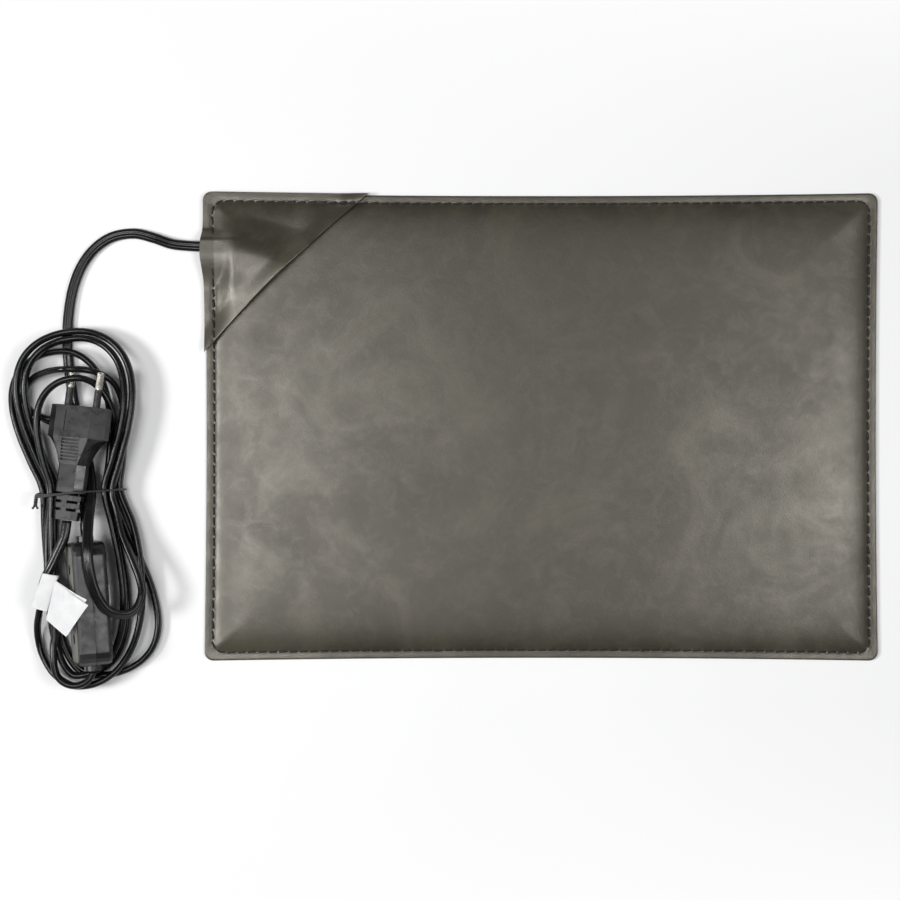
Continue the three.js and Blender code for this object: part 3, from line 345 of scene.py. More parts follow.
def film():
    n = Nodes("polyester_film")
    tint = n.mix(n.span(n.noise(24, 3), 0.0, 1.0), (0.52, 0.45, 0.28), (0.6, 0.54, 0.38))
    return n.finish(tint, n.span(n.noise(5), 0.12, 0.25), n.bump(n.noise(12, 3), 0.05, 0.6))


def ink():
    n = Nodes("carbon_ink")
    speck = n.noise(0.5, 6, 0.7)
    tint = n.mix(n.span(speck, 0.0, 1.0), (0.012, 0.012, 0.013), (0.035, 0.035, 0.037))
    return n.finish(tint, n.span(speck, 0.5, 0.75), n.bump(speck, 0.02, 0.8))


cover_leather, lining_leather, sewing_thread = leather(), lining(), thread()
cord_vinyl = vinyl("cord_vinyl", (0.005, 0.005, 0.0055), (0.14, 0.22), 1.6, 0.05, specular=0.24)
plug_vinyl = vinyl("plug_vinyl", (0.008, 0.008, 0.009), (0.26, 0.38), 0.5, 0.04, specular=0.6)
# The switch's back faces the key lamp, and its material gets a painted reflection on the faces turned that way.
SWITCH_BLACK, SWITCH_BACKWARDS = (0.009, 0.009, 0.0095), (-0.936, -0.07, 0.342)
switch_plastic = vinyl("switch_plastic", SWITCH_BLACK, (0.22, 0.34), 0.5, 0.03, specular=0.32, rounded_mm=1.6)
switch_back = vinyl("switch_back", SWITCH_BLACK, (0.3, 0.45), 0.5, 0.03, sheen_side=SWITCH_BACKWARDS)
rocker_plastic = vinyl("rocker_plastic", (0.014, 0.014, 0.015), (0.16, 0.26), 0.8, 0.01)
tie_vinyl = vinyl("tie_vinyl", (0.02, 0.02, 0.021), (0.4, 0.55), 0.6, 0.04)
white_sleeve = vinyl("white_sleeve", (0.62, 0.6, 0.55), (0.5, 0.65), 0.4, 0.04)
red_sleeve = vinyl("red_sleeve", (0.24, 0.05, 0.03), (0.4, 0.55), 0.5, 0.03)
pin_nickel = metal("pin_nickel", (0.78, 0.75, 0.68), (0.16, 0.3), (1, 0.2, 1))
steel = metal("zinc_steel", (0.5, 0.5, 0.5), (0.25, 0.4))
tinned = metal("tinned_metal", (0.6, 0.6, 0.58), (0.3, 0.45))
copper = metal("copper_foil", (0.72, 0.38, 0.22), (0.22, 0.36), (1, 0.1, 1))
label_paper = paper()

NODE_FINISH = {
    "insulation_felt": felt(),
    "heater_film_lower": film(),
    "heater_film_upper": film(),
    "carbon_grid": ink(),
    "busbar_live": copper,
    "busbar_neutral": copper,
    "terminal_clip_live": tinned,
    "terminal_clip_neutral": tinned,
    "terminal_pad_live": white_sleeve,
    "terminal_pad_neutral": white_sleeve,
    "cord_held_end": cord_vinyl,
    "lead_neutral": white_sleeve,
    "lead_live_to_fuse": red_sleeve,
    "lead_live_to_clip": red_sleeve,
    "thermal_fuse": tinned,
    "plug_body": plug_vinyl,
    "plug_pin_left": pin_nickel,
    "plug_pin_right": pin_nickel,
    "pin_sleeve_left": plug_vinyl,
    "pin_sleeve_right": plug_vinyl,
    "switch_base": switch_back,
    "switch_cover": switch_plastic,
    "switch_rocker": rocker_plastic,
    "switch_pivot_pin": steel,
    "switch_screw_1": steel,
    "switch_screw_2": steel,
    "contact_from_plug": tinned,
    "contact_to_mat": tinned,
    "neutral_link": tinned,
}

# How far the edges of the nodes that show are rounded
EDGES = {
    "plug_body": 0.7,
    "switch_base": 0.9,
    "switch_cover": 0.9,
    "switch_rocker": 0.3,
    "plug_pin_left": 0.12,
    "plug_pin_right": 0.12,
    "switch_screw_1": 0.1,
    "switch_screw_2": 0.1,
}


# Mat


def draw_in(x, y):
    """The sides draw in a little between the corners, as a sewn cover's do."""
    across, along = x / MAT_X, y / MAT_Y
    return x - DRAW_IN_ENDS * across * (1 - along**2), y - DRAW_IN_SIDES * along * (1 - across**2)


def corner_radius(inset):
    return MAT_CORNER + (PLATEAU_CORNER - MAT_CORNER) * smooth(0, RISE_END, inset)


def mat_ring(inset):
    """Points round the mat at an inset from its rim, as two arrays, always as many and in the same places."""
    r = float(corner_radius(inset))
    hx, hy = MAT_X - inset - r, MAT_Y - inset - r
    xs, ys = [], []
    for quarter, (sx, sy) in enumerate(((1, 1), (-1, 1), (-1, -1), (1, -1))):
        turn = (quarter + np.arange(CORNER_STEPS + 1) / CORNER_STEPS) * math.pi / 2
        xs.append(sx * hx + r * np.cos(turn))
        ys.append(sy * hy + r * np.sin(turn))
        steps = SIDE_STEPS[quarter % 2]
        share = np.arange(1, steps) / steps
        rim_x, rim_y = sx * hx + sx * r, sy * hy + sy * r
        nx, ny = ((-hx, rim_y), (rim_x, -hy), (hx, rim_y), (rim_x, hy))[quarter]
        xs.append(xs[-1][-1] + (nx - xs[-1][-1]) * share)
        ys.append(ys[-1][-1] + (ny - ys[-1][-1]) * share)
    return draw_in(np.concatenate(xs), np.concatenate(ys))


def inset_at(x, y):
    """How far inside the mat's rim each place lies, up to the end of the rise."""
    low, high = np.zeros_like(x), np.full_like(x, RISE_END)
    for _ in range(22):
        inset = (low + high) / 2
        r = corner_radius(inset)
        dx, dy = np.abs(x) - (MAT_X - inset - r), np.abs(y) - (MAT_Y - inset - r)
        outside = np.hypot(np.maximum(dx, 0), np.maximum(dy, 0)) + np.minimum(np.maximum(dx, dy), 0) - r
        low, high = np.where(outside > 0, low, inset), np.where(outside > 0, inset, high)
    return low


def cover_rise(inset):
    """How far the cover's underside lies above the flange's."""
    return (PLATEAU_TOP - FLANGE_TOP) * smooth(FLANGE, RISE_END, inset)


def leather_rise(x, y):
    """The leather's upper side climbs steeply next to the seam and ever more gently inwards,
    and it stays above the corners of the heater film."""
    inside = np.minimum(MAT_X - np.abs(x), MAT_Y - np.abs(y)) - CLIMB_START
    return (PLATEAU_TOP - FLANGE_TOP) * (1 - np.exp(-np.maximum(inside, 0) / CLIMB_LENGTH))


seam_x, seam_y = mat_ring(STITCH_INSET)
seam_run = np.concatenate(([0], np.cumsum(np.hypot(np.diff(seam_x), np.diff(seam_y)))))
seam_length = seam_run[-1] + math.hypot(seam_x[0] - seam_x[-1], seam_y[0] - seam_y[-1])
stitch_count = round(seam_length / STITCH_PITCH)
stitch_pitch = seam_length / stitch_count


def channel(inset, run):
    """How deep the seam pulls the leather down at an inset and at a length along the seam."""
    across = np.exp(-(((inset - STITCH_INSET) / CHANNEL_WIDTH) ** 2))
    holes = 0.5 + 0.5 * np.cos(2 * math.pi * run / stitch_pitch)
    tight = np.exp(-(((inset - STITCH_INSET) / HOLE_WIDTH) ** 2))
    return CHANNEL_DEPTH * (0.45 * across + 0.2 * across * holes + 0.5 * tight * holes)


def plateau_waves(x, y):
    """The slight unevenness of leather over felt."""
    long_waves = np.sin(x / 23 + 1.3 * np.sin(y / 31)) + np.sin(y / 19 + 1.1 * np.sin(x / 37 + 2))
    return 0.05 * (long_waves + 0.6 * np.sin((x + y) / 11))


def closed_rings(name, rings, material):
    """A closed skin over rings of equal count, from its middle below, out, and back to its middle above."""
    count = len(rings[0])
    points = np.concatenate(rings + [rings[0].mean(0)[None], rings[-1].mean(0)[None]])
    faces = grid_faces(len(rings), count, closed=True)
    low, high = len(points) - 2, len(points) - 1
    last = (len(rings) - 1) * count
    for c in range(count):
        d = (c + 1) % count
        faces.append((low, d, c))
        faces.append((last + c, last + d, high))
    return mesh_object(name, points, faces, material)


def ring_at(inset, z):
    x, y = mat_ring(inset)
    return np.stack([x, y, np.broadcast_to(z, x.shape)], 1)


def top_cover():
    rings = []
    under = [0.2, 2.0, 4.2, *RISE_INSETS, *INNER_INSETS]
    for inset in reversed(under):
        x, y = mat_ring(inset)
        waves = plateau_waves(x, y) * smooth(FLANGE, 20, inset)
        level = COVER_UNDER + cover_rise(inset) + waves * (inset > RISE_END)
        rings.append(ring_at(inset, np.minimum(level, FLANGE_TOP + leather_rise(x, y) - LEAST_SKIN)))
    rings += [ring_at(0, FLANGE_TOP - 0.75), ring_at(0, FLANGE_TOP - 0.4), ring_at(0.13, FLANGE_TOP - 0.12)]
    for inset in [0.42, *SEAM_INSETS, *RISE_INSETS, *INNER_INSETS]:
        x, y = mat_ring(inset)
        waves = plateau_waves(x, y) * smooth(FLANGE, 20, inset)
        rings.append(ring_at(inset, FLANGE_TOP + leather_rise(x, y) + waves - channel(inset, seam_run)))
    return closed_rings("leather_top", rings, cover_leather)


def bottom_cover():
    rings = []
    for inset in reversed([0.4, *SEAM_INSETS, 9.0, *INNER_INSETS]):
        rings.append(ring_at(inset, 0.6 * channel(inset, seam_run)))
    rings += [ring_at(0.1, 0.12), ring_at(0, 0.35), ring_at(0, 0.8), ring_at(0.2, BOTTOM_TOP)]
    rings += [ring_at(inset, BOTTOM_TOP) for inset in (6, *INNER_INSETS)]
    return closed_rings("leather_bottom", rings, lining_leather)


def cut_bay(obj):
    """The opening in the top cover under the patch, for the wiring."""
    corners = [(x, y, z) for z in BAY_Z for y in BAY_Y for x in BAY_X]
    sides = [(0, 2, 3, 1), (4, 5, 7, 6), (0, 1, 5, 4), (2, 6, 7, 3), (0, 4, 6, 2), (1, 3, 7, 5)]
    tool = mesh_object("bay_tool", corners, sides, cover_leather, shade=False)
    cut = obj.modifiers.new("bay", "BOOLEAN")
    cut.operation, cut.object, cut.solver = "DIFFERENCE", tool, "EXACT"
    done = bpy.data.meshes.new_from_object(obj.evaluated_get(bpy.context.evaluated_depsgraph_get()))
    obj.modifiers.clear()
    obj.data = done
    bpy.data.objects.remove(tool, do_unlink=True)


mat_top = top_cover()
cut_bay(mat_top)
sharpen(mat_top, 50)
mat_bottom = bottom_cover()
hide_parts("top_cover")
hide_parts("bottom_cover")
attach(mat_top, BODY)
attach(mat_bottom, BODY)


# Corner patch


def inside_free_edge(x, y):
    """How far inside the patch's diagonal edge each place lies."""
    tip_y = MAT_Y - LEG_Y
    return ((x + MAT_X) * -LEG_Y + (y - tip_y) * LEG_X) / math.hypot(LEG_X, LEG_Y)


def ridge_share(x, y):
    """The swelling over the cord, from its entry inwards."""
    fall = np.where(y > ENTRY_Y, RIDGE_FALL_FAR, RIDGE_FALL_NEAR)
    across = 1 - smooth(0, 1, (np.abs(y - ENTRY_Y) - CORD_WIDTH / 2 - 0.3) / fall)
    return across * falling(x + MAT_X, RIDGE_REACH, RIDGE_FALL_IN)


def bump_share(x, y):
    """The swelling over the wiring: a crest from the cord's entry to the free edge, with a short slope
    on its far side, a long one on its near side, and its left end held down by the seam."""
    run, drop = CREST
    length = math.hypot(run, drop)
    dx, dy = x + MAT_X, y - CREST_Y
    along, above = (dx * run - dy * drop) / length, (dx * drop + dy * run) / length
    slopes = (1 - smooth(0, 22, above)) * (1 - smooth(0, 46, -above))
    return slopes * smooth(3.5, 17, dx) * (1 - 0.6 * smooth(34, 70, along))


def patch_under(x, y):
    """The patch's underside before its creases."""
    bump, ridge = BUMP_HEIGHT * bump_share(x, y), (CORD_THICK + RIDGE_SPARE) * ridge_share(x, y)
    raised = (bump**4 + ridge**4) ** 0.25
    lift = EDGE_LIFT * falling(inside_free_edge(x, y), 0, EDGE_LIFT_WIDTH)
    return FLANGE_TOP + leather_rise(x, y) + PATCH_LAY + raised + lift


def nearest_run(x, y):
    """The length along the seam of the seam's point nearest to each place."""
    dx, dy = draw_in(x, y)
    apart = (dx.ravel()[:, None] - seam_x[None]) ** 2 + (dy.ravel()[:, None] - seam_y[None]) ** 2
    return seam_run[np.argmin(apart, 1)].reshape(x.shape)


def patch_creases(x, y):
    """Folds that run out from the ridge and the bump, and a soft fold behind the free edge."""
    fold = 0.1 * np.sin((x * 0.8 - y) / 4.1 + 1.7 * np.sin(x / 9))
    fold = fold * falling(np.abs(bump_share(x, y) - 0.35), 0.1, 0.3)
    back = 0.28 * np.exp(-(((inside_free_edge(x, y) - 13) / 4) ** 2))
    return fold - back


def patch_sheet():
    """The patch as a sheet with thickness, its lines running from the free edge to the sewn sides."""
    left, rear = -MAT_X - OVERHANG, MAT_Y + OVERHANG
    tip_x, tip_y = -MAT_X + LEG_X, MAT_Y - LEG_Y
    u = np.linspace(0, 1, 150)
    bow = np.array([(left + tip_x) / 2 - EDGE_BOW, (tip_y + rear) / 2 + EDGE_BOW])
    start, end = np.array([left, tip_y]), np.array([tip_x, rear])
    free = (1 - u)[:, None] ** 2 * start + 2 * (u * (1 - u))[:, None] * bow + (u**2)[:, None] * end
    turn = np.linspace(math.pi, math.pi / 2, 9)
    arc_x, arc_y = left + MAT_CORNER + MAT_CORNER * np.cos(turn), rear - MAT_CORNER + MAT_CORNER * np.sin(turn)
    arc = np.stack([arc_x, arc_y], 1)
    outer = np.concatenate([start[None], arc, end[None]])
    run = np.concatenate(([0], np.cumsum(np.hypot(*np.diff(outer, axis=0).T))))
    along = u * run[-1]
    side = np.stack([np.interp(along, run, outer[:, k]) for k in (0, 1)], 1)
    bulge = ENTRY_BOW * np.exp(-(((side[:, 1] - ENTRY_Y + 3) / ENTRY_BOW_Y) ** 2))
    side[:, 0] -= bulge * (side[:, 0] < left + 0.1)
    v = np.concatenate([[0, 0.006, 0.015], np.linspace(0.03, 0.9, 60), np.linspace(0.906, 1, 22)])
    flat = free[:, None] * (1 - v)[None, :, None] + side[:, None] * v[None, :, None]
    x, y = flat[..., 0], flat[..., 1]
    bottom = patch_under(x, y) + patch_creases(x, y)
    on_cord = np.maximum(ridge_share(x, y), bump_share(x, y) * 0.6)
    top = bottom + PATCH_THICK - channel(inset_at(x, y), nearest_run(x, y)) * (1 - smooth(0, 0.4, on_cord))
    rim = np.minimum(v, 1 - v)[None] * LEG_X
    top -= 0.3 * np.exp(-((rim / 0.35) ** 2))
    dx, dy = draw_in(x, y)
    points = np.concatenate([np.stack([dx, dy, z], -1).reshape(-1, 3) for z in (bottom, top)])
    rows, columns = x.shape
    faces = grid_faces(rows, columns) + grid_faces(rows, columns, rows * columns, flip=True)
    for r in range(rows - 1):
        for c in (0, columns - 1):
            a, b = r * columns + c, (r + 1) * columns + c
            quad = [a, b, b + rows * columns, a + rows * columns]
            faces.append(quad if c else quad[::-1])
    return points, faces


def weld(obj):
    """Joins points that fall together, so that no face is left without area."""
    work = bmesh.new()
    work.from_mesh(obj.data)
    bmesh.ops.remove_doubles(work, verts=work.verts, dist=0.004 * MM)
    bmesh.ops.dissolve_degenerate(work, edges=work.edges, dist=0.004 * MM)
    bmesh.ops.recalc_face_normals(work, faces=work.faces)
    work.to_mesh(obj.data)
    work.free()


patch = mesh_object("leather_patch", *patch_sheet(), cover_leather)
weld(patch)
sharpen(patch, 50)
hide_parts("corner_patch")
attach(patch, BODY)


# Stitches


def tube(points, radius, sides=7, flat=1.0):
    """Points and faces of a round rod along points, closed at its ends."""
    points = np.asarray(points, float)
    tangent = np.gradient(points, axis=0)
    tangent /= np.linalg.norm(tangent, axis=1)[:, None]
    side = np.cross(tangent, [0, 0, 1.0])
    side /= np.maximum(np.linalg.norm(side, axis=1), 1e-9)[:, None]
    over = np.cross(side, tangent)
    turn = np.arange(sides) * 2 * math.pi / sides
    radius = np.broadcast_to(radius, len(points))
    ring = side[:, None] * np.cos(turn)[None, :, None] + over[:, None] * np.sin(turn)[None, :, None] * flat
    skin = (points[:, None] + ring * radius[:, None, None]).reshape(-1, 3)
    faces = grid_faces(len(points), sides, closed=True, flip=True)
    faces += [list(range(sides)), list(reversed(range(len(skin) - sides, len(skin))))]
    return skin, faces


def joined(parts):
    """Several skins as one list of points and one of faces."""
    points, faces, first = [], [], 0
    for skin, some in parts:
        points.append(skin)
        faces += [[first + i for i in face] for face in some]
        first += len(skin)
    return np.concatenate(points), faces


def seam_place(run, sideways=0.0):
    """Where the seam is at a length along it, moved sideways into the mat."""
    loop_x, loop_y = np.append(seam_x, seam_x[0]), np.append(seam_y, seam_y[0])
    loop_run = np.append(seam_run, seam_length)
    here = [np.interp(run % seam_length, loop_run, loop) for loop in (loop_x, loop_y)]
    ahead = [np.interp((run + 0.5) % seam_length, loop_run, loop) for loop in (loop_x, loop_y)]
    dx, dy = ahead[0] - here[0], ahead[1] - here[1]
    length = math.hypot(dx, dy)
    return here[0] - dy / length * sideways, here[1] + dx / length * sideways


def seam_height(x, y, run):
    """The leather's upper side at a place of the seam, on the patch where the patch lies over it."""
    x, y = np.array([x]), np.array([y])
    if inside_free_edge(x, y)[0] > 1.5:
        base = (patch_under(x, y) + PATCH_THICK)[0]
    else:
        base = FLANGE_TOP
    return base - channel(STITCH_INSET, run)


def stitches(under):
    """The stitches of one side, left out on the upper side where the patch swells."""
    parts = []
    for k in range(stitch_count):
        start = k * stitch_pitch + (stitch_pitch - STITCH_LENGTH) / 2
        middle = start + STITCH_LENGTH / 2
        x, y = seam_place(middle)
        here = np.array([x]), np.array([y])
        if not under and max(ridge_share(*here)[0], bump_share(*here)[0]) > 0.5:
            continue
        wobble = rng.normal(0, 0.05, 2)
        line = []
        for share in np.linspace(0, 1, 7):
            run = start + share * STITCH_LENGTH
            px, py = seam_place(run, (share - 0.5) * 0.3 + wobble[0])
            dip = 0.55 * abs(2 * share - 1) ** 4
            if under:
                line.append((px, py, 0.48 + dip))
            else:
                line.append((px, py, seam_height(px, py, middle) + 0.3 - dip + 0.3 * wobble[1]))
        thinner = 1 - 0.25 * np.abs(np.linspace(-1, 1, 7)) ** 3
        parts.append(tube(line, THREAD / 2 * thinner, flat=0.85))
    return joined(parts)


for name, under in (("stitches_top", False), ("stitches_under", True)):
    row = mesh_object(name, *stitches(under), sewing_thread)
    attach(row, BODY)


# Cords


def fine_line(points, step=1.5):
    """A smooth line through points, in equal steps; any columns after x, y, z go along with it."""
    p = np.asarray(points, float)
    p = np.concatenate([p[:1], p, p[-1:]])
    share = np.linspace(0, 1, 9)[:-1]
    a, b, c, d = p[:-3, None], p[1:-2, None], p[2:-1, None], p[3:, None]
    f = share[None, :, None]
    bend, twist = 2 * a - 5 * b + 4 * c - d, 3 * b - a - 3 * c + d
    line = 0.5 * (2 * b + (c - a) * f + bend * f**2 + twist * f**3)
    line = np.concatenate([line.reshape(-1, p.shape[1]), p[-1:]])
    run = np.concatenate(([0], np.cumsum(np.linalg.norm(np.diff(line[:, :3], axis=0), axis=1))))
    places = np.linspace(0, run[-1], max(3, round(run[-1] / step)))
    return np.stack([np.interp(places, run, line[:, k]) for k in range(p.shape[1])], 1), run[-1]


def twin_section():
    """Two round cores side by side with a groove between them, as (across the width, across the thickness)."""
    radius, offset = CORD_THICK / 2, (CORD_WIDTH - CORD_THICK) / 2
    points = []
    for side in (1, -1):
        for turn in np.radians(np.linspace(-108, 108, 11)):
            points.append((side * (offset + radius * math.cos(turn)), side * radius * math.sin(turn)))
        points.append((0, side * (radius - CORD_GROOVE)))
    return np.array(points)


def twin_cord(name, points):
    """A flat twin cord; each point is x, y, z and how far the cord is rolled from lying flat, in degrees."""
    line, length = fine_line(points)
    centre, roll = line[:, :3], np.radians(line[:, 3])
    half_height = (CORD_WIDTH - CORD_THICK) / 2 * np.abs(np.sin(roll)) + CORD_THICK / 2
    centre[:, 2] = np.maximum(centre[:, 2], half_height + 0.05)
    tangent = np.gradient(centre, axis=0)
    tangent /= np.linalg.norm(tangent, axis=1)[:, None]
    side = np.cross(tangent, [0, 0, 1.0])
    side /= np.linalg.norm(side, axis=1)[:, None]
    over = np.cross(side, tangent)
    c, s = np.cos(roll)[:, None], np.sin(roll)[:, None]
    wide, thin = side * c + over * s, over * c - side * s
    section = twin_section()
    skin = centre[:, None] + wide[:, None] * section[None, :, :1] + thin[:, None] * section[None, :, 1:]
    count = len(section)
    faces = grid_faces(len(line), count, closed=True, flip=True)
    total = len(line) * count
    faces += [list(range(count)), list(reversed(range(total - count, total)))]
    obj = mesh_object(name, skin.reshape(-1, 3), faces, cord_vinyl)
    weld(obj)
    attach(obj, BODY)
    return obj


def hank_half(start, end, reach, lean, swell, heights, until=1.0, steps=16, late=1.15):
    """Half a turn from one side of the waist to the other, on edge.
    reach is how far it goes from the waist, swell how far each side bulges, late how far from the waist it
    bulges most, heights its levels on the way, and until how much of it there is."""
    places = np.linspace(0, until, steps + 1)
    turn = math.pi * places
    c, s = np.cos(turn), np.sin(turn)
    outward = np.where(c > 0, swell[0], swell[1]) * np.sign(start - end)
    widest = (late / (1 + late)) ** (late / 2) / math.sqrt(1 + late)
    x = (start + end) / 2 + (start - end) / 2 * c + outward * c * s**late / widest + lean * s
    level = np.linspace(0, 1, len(heights))
    z, _ = fine_line(np.stack([level * 100, np.asarray(heights, float), 0 * level], 1), 0.5)
    z = np.interp(places * 100, z[:, 0], z[:, 1])
    return [(a, b, h, 90) for a, b, h in zip(x, TIE_Y + reach * s, z)]


# From the mat to the switch's upper neck: flat on the table, then up and on edge into the neck
TO_SWITCH = [
    (-180.3, 96.4, 4.1, 0),
    (-185.9, 96.4, 4.1, 0),
    (-197, 97.6, 3.4, 0),
    (-207, 101, 2.2, 0),
    (-217.5, 103.4, 1.8, 0),
    (-229, 101.6, 1.8, 0),
    (-238.5, 95.4, 1.8, 0),
    (-245.6, 86, 1.8, 0),
    (-250.2, 74, 1.8, 0),
    (-252.6, 60, 1.8, 0),
    (-253.2, 46, 1.8, 0),
    (-252.4, 32, 1.8, 0),
    (-250.6, 18, 1.8, 0),
    (-248.4, 4, 1.8, 0),
    (-246.2, -10, 2.1, 0),
    (-244.4, -21, 3.9, 8),
    (-243.2, -31, 7.4, 30),
    (-242.4, -40, 11.8, 65),
    (-241.9, -47.5, 14.9, 95),
    (-241.9, -51.8, 15.7, 108),
    (-241.5, -57.4, 15.7, 110),
]

# From the switch's lower neck round and up to the waist
FROM_SWITCH = [
    (-236.5, -128.8, 15.7, 110),
    (-238.6, -132.9, 15.7, 100),
    (-242.2, -135.6, 15.7, 94),
    (-246.6, -136.6, 15.7, 90),
    (-251, -135.6, 15.7, 90),
    (-254.6, -132.9, 15.7, 90),
    (-256.8, -128.8, 15.7, 90),
    (-257.7, -122, 15.7, 90),
    (-257.8, -115, 15.2, 90),
    (-257.1, -109, 14.4, 90),
    (-257.3, -98, 13, 90),
    (-258, -85, 12.3, 90),
    (-259, -68, 12.3, 90),
    (-259.4, -50, 12.5, 90),
]

# Half turns of the hank: waist start and end, reach, lean, swells, levels on the way, until, steps and late
HALF_TURNS = [
    (-259.4, -228, 59.1, -1.2, (10.4, 5.9), (12.6, 14.6, 16.2, 16.4, 13, 8, 5.8)),
    (-228, -265.6, -99.5, 7, (24.5, 4), (5.8, 3, 2.9, 2.9, 2.9, 3, 5.6), 1.0, 16, 1.4),
    (-265.6, -231.8, 73.8, -5.9, (17.5, 9), (5.6, 4.2, 3.1, 5.8, 6.2, 5, 5.8)),
    (-231.8, -258, -97, 4, (12, 6.4), (5.8, 3, 2.9, 2.9, 2.9, 2.9, 5.4)),
    (-258, -231.4, 80.5, -0.7, (19.6, 14.6), (5.4, 8.8, 10.8, 9, 11.8, 14.2, 12.4)),
    (-231.4, -261.8, -98.6, 0, (13.6, 2.8), (12.4, 10.5, 9.2, 9, 9, 9.2, 6.6)),
    (-261.8, -227.4, 84.3, -0.9, (21, 15.8), (6.6, 9.4, 10.5, 8.6, 11.4, 13.8, 12.4)),
]

# The small loop over the switch, which goes back under the plug and over its left pin
SMALL_LOOP = [
    (-225, -44, 13, 90),
    (-221.6, -57.1, 15, 90),
    (-215.8, -70, 17.4, 80),
    (-211.5, -80.6, 19, 75),
    (-210.3, -88, 20.4, 70),
    (-212.8, -95.2, 22, 60),
    (-218.8, -98.3, 24.4, 50),
    (-227, -95.6, 28.2, 30),
    (-233, -86, 29.8, 15),
    (-236, -74, 30.8, 12),
    (-237, -62.5, 30.2, 8),
    (-237.5, -49, 24.8, 0),
    (-237.6, -38.6, 18.4, 0),
    (-238.6, -28, 12.9, 0),
    (-241, -18, 8.9, 0),
    (-245, -8, 6.2, 0),
    (-250.5, -1, 4.4, 0),
    (-257.5, 2, 2.9, 20),
    (-265.3, 4.4, 2.9, 70),
    (-272.2, 8.2, 2.9, 90),
    (-276, 14.4, 2.9, 90),
    (-275, 21, 3.4, 90),
    (-270.3, 25.9, 6.2, 90),
    (-263.8, 28.6, 10.6, 90),
    (-257.4, 29.8, 14.4, 90),
    (-251, 30.2, 16.8, 90),
    (-244.3, 30.2, 16.4, 90),
    (-238, 29.4, 14.2, 90),
    (-231.5, 27, 12.6, 90),
    (-226.4, 22.6, 9.6, 90),
    (-223.6, 16, 7.2, 90),
    (-222, 6, 6.6, 90),
    (-222, -6, 6.4, 90),
    (-223.2, -20, 6.2, 90),
]

# The first half of the last half turn, and then the outer arc up the left side to the plug
LAST_TURN = (-224.2, -266.8, -104.2, 0.6, (16, 9.6), (6.2, 9, 9, 9, 9, 9, 9), 0.5, 9, 0.8)
TO_PLUG = [
    (-251.6, -136.4, 8.4, 90),
    (-259.6, -131.1, 6.2, 90),
    (-265.3, -122.6, 4.6, 90),
    (-267.9, -114, 4.6, 90),
    (-268, -105.4, 7.2, 90),
    (-265.9, -96.8, 11.6, 86),
    (-264.6, -88, 15, 66),
    (-262, -80.5, 17.8, 40),
    (-258.4, -73.8, 19, 28),
    (-254.6, -66, 19.6, 24),
    (-251.6, -59.5, 20, 24),
    (-250.5, -54.9, 19.95, 24),
    (-249.84, -49.36, 19.65, 24),
]

hank_points = list(FROM_SWITCH)
for half in HALF_TURNS[:-1]:
    hank_points += hank_half(*half)[:-1]
hank_points += hank_half(*HALF_TURNS[-1]) + SMALL_LOOP + hank_half(*LAST_TURN) + TO_PLUG


# Tie


def wire_tie():
    """A twisted wire: a loop round the waist, its twist and two short tails."""
    loop = [
        (-268.2, -36.4, 10.4),
        (-266.9, -36.2, 13.8),
        (-262.8, -36, 17.2),
        (-257.4, -35.6, 21.6),
        (-249.5, -35, 25.4),
        (-242.2, -34.4, 27.9),
        (-236.4, -34, 22.4),
        (-229.6, -33.6, 17),
        (-224.6, -33.3, 14.4),
        (-222.1, -33.2, 8.8),
        (-222.3, -33.3, 3),
        (-228, -33.5, 1.1),
        (-246, -34, 0.8),
        (-261, -34.8, 0.9),
        (-267.2, -35.4, 2.2),
        (-268.6, -36, 6),
        (-268.6, -36.5, 9),
    ]
    line, _ = fine_line(loop, 0.8)
    parts = [tube(line, TIE_RADIUS, 8)]
    second, _ = fine_line([(x, y - 1.3 + 0.3 * i, z + 0.3) for i, (x, y, z) in enumerate(loop[:5])], 0.8)
    parts.append(tube(second, TIE_RADIUS, 8))
    turns = np.linspace(0, 3.2 * math.pi, 40)
    run = turns / turns[-1]
    for phase in (0, math.pi):
        x = -267.2 - 0.8 * run + TWIST_RADIUS * np.cos(turns + phase)
        z = 13.9 - 1.2 * run + TWIST_RADIUS * np.sin(turns + phase)
        twist = np.stack([x, -37.2 - 4.6 * run, z], 1)
        end = twist[-1] + np.array([-1.2 + 0.7 * phase, -1.6, -0.4])
        parts.append(tube(np.concatenate([twist, end[None]]), TWIST_RADIUS, 8))
    return joined(parts)


# Labels


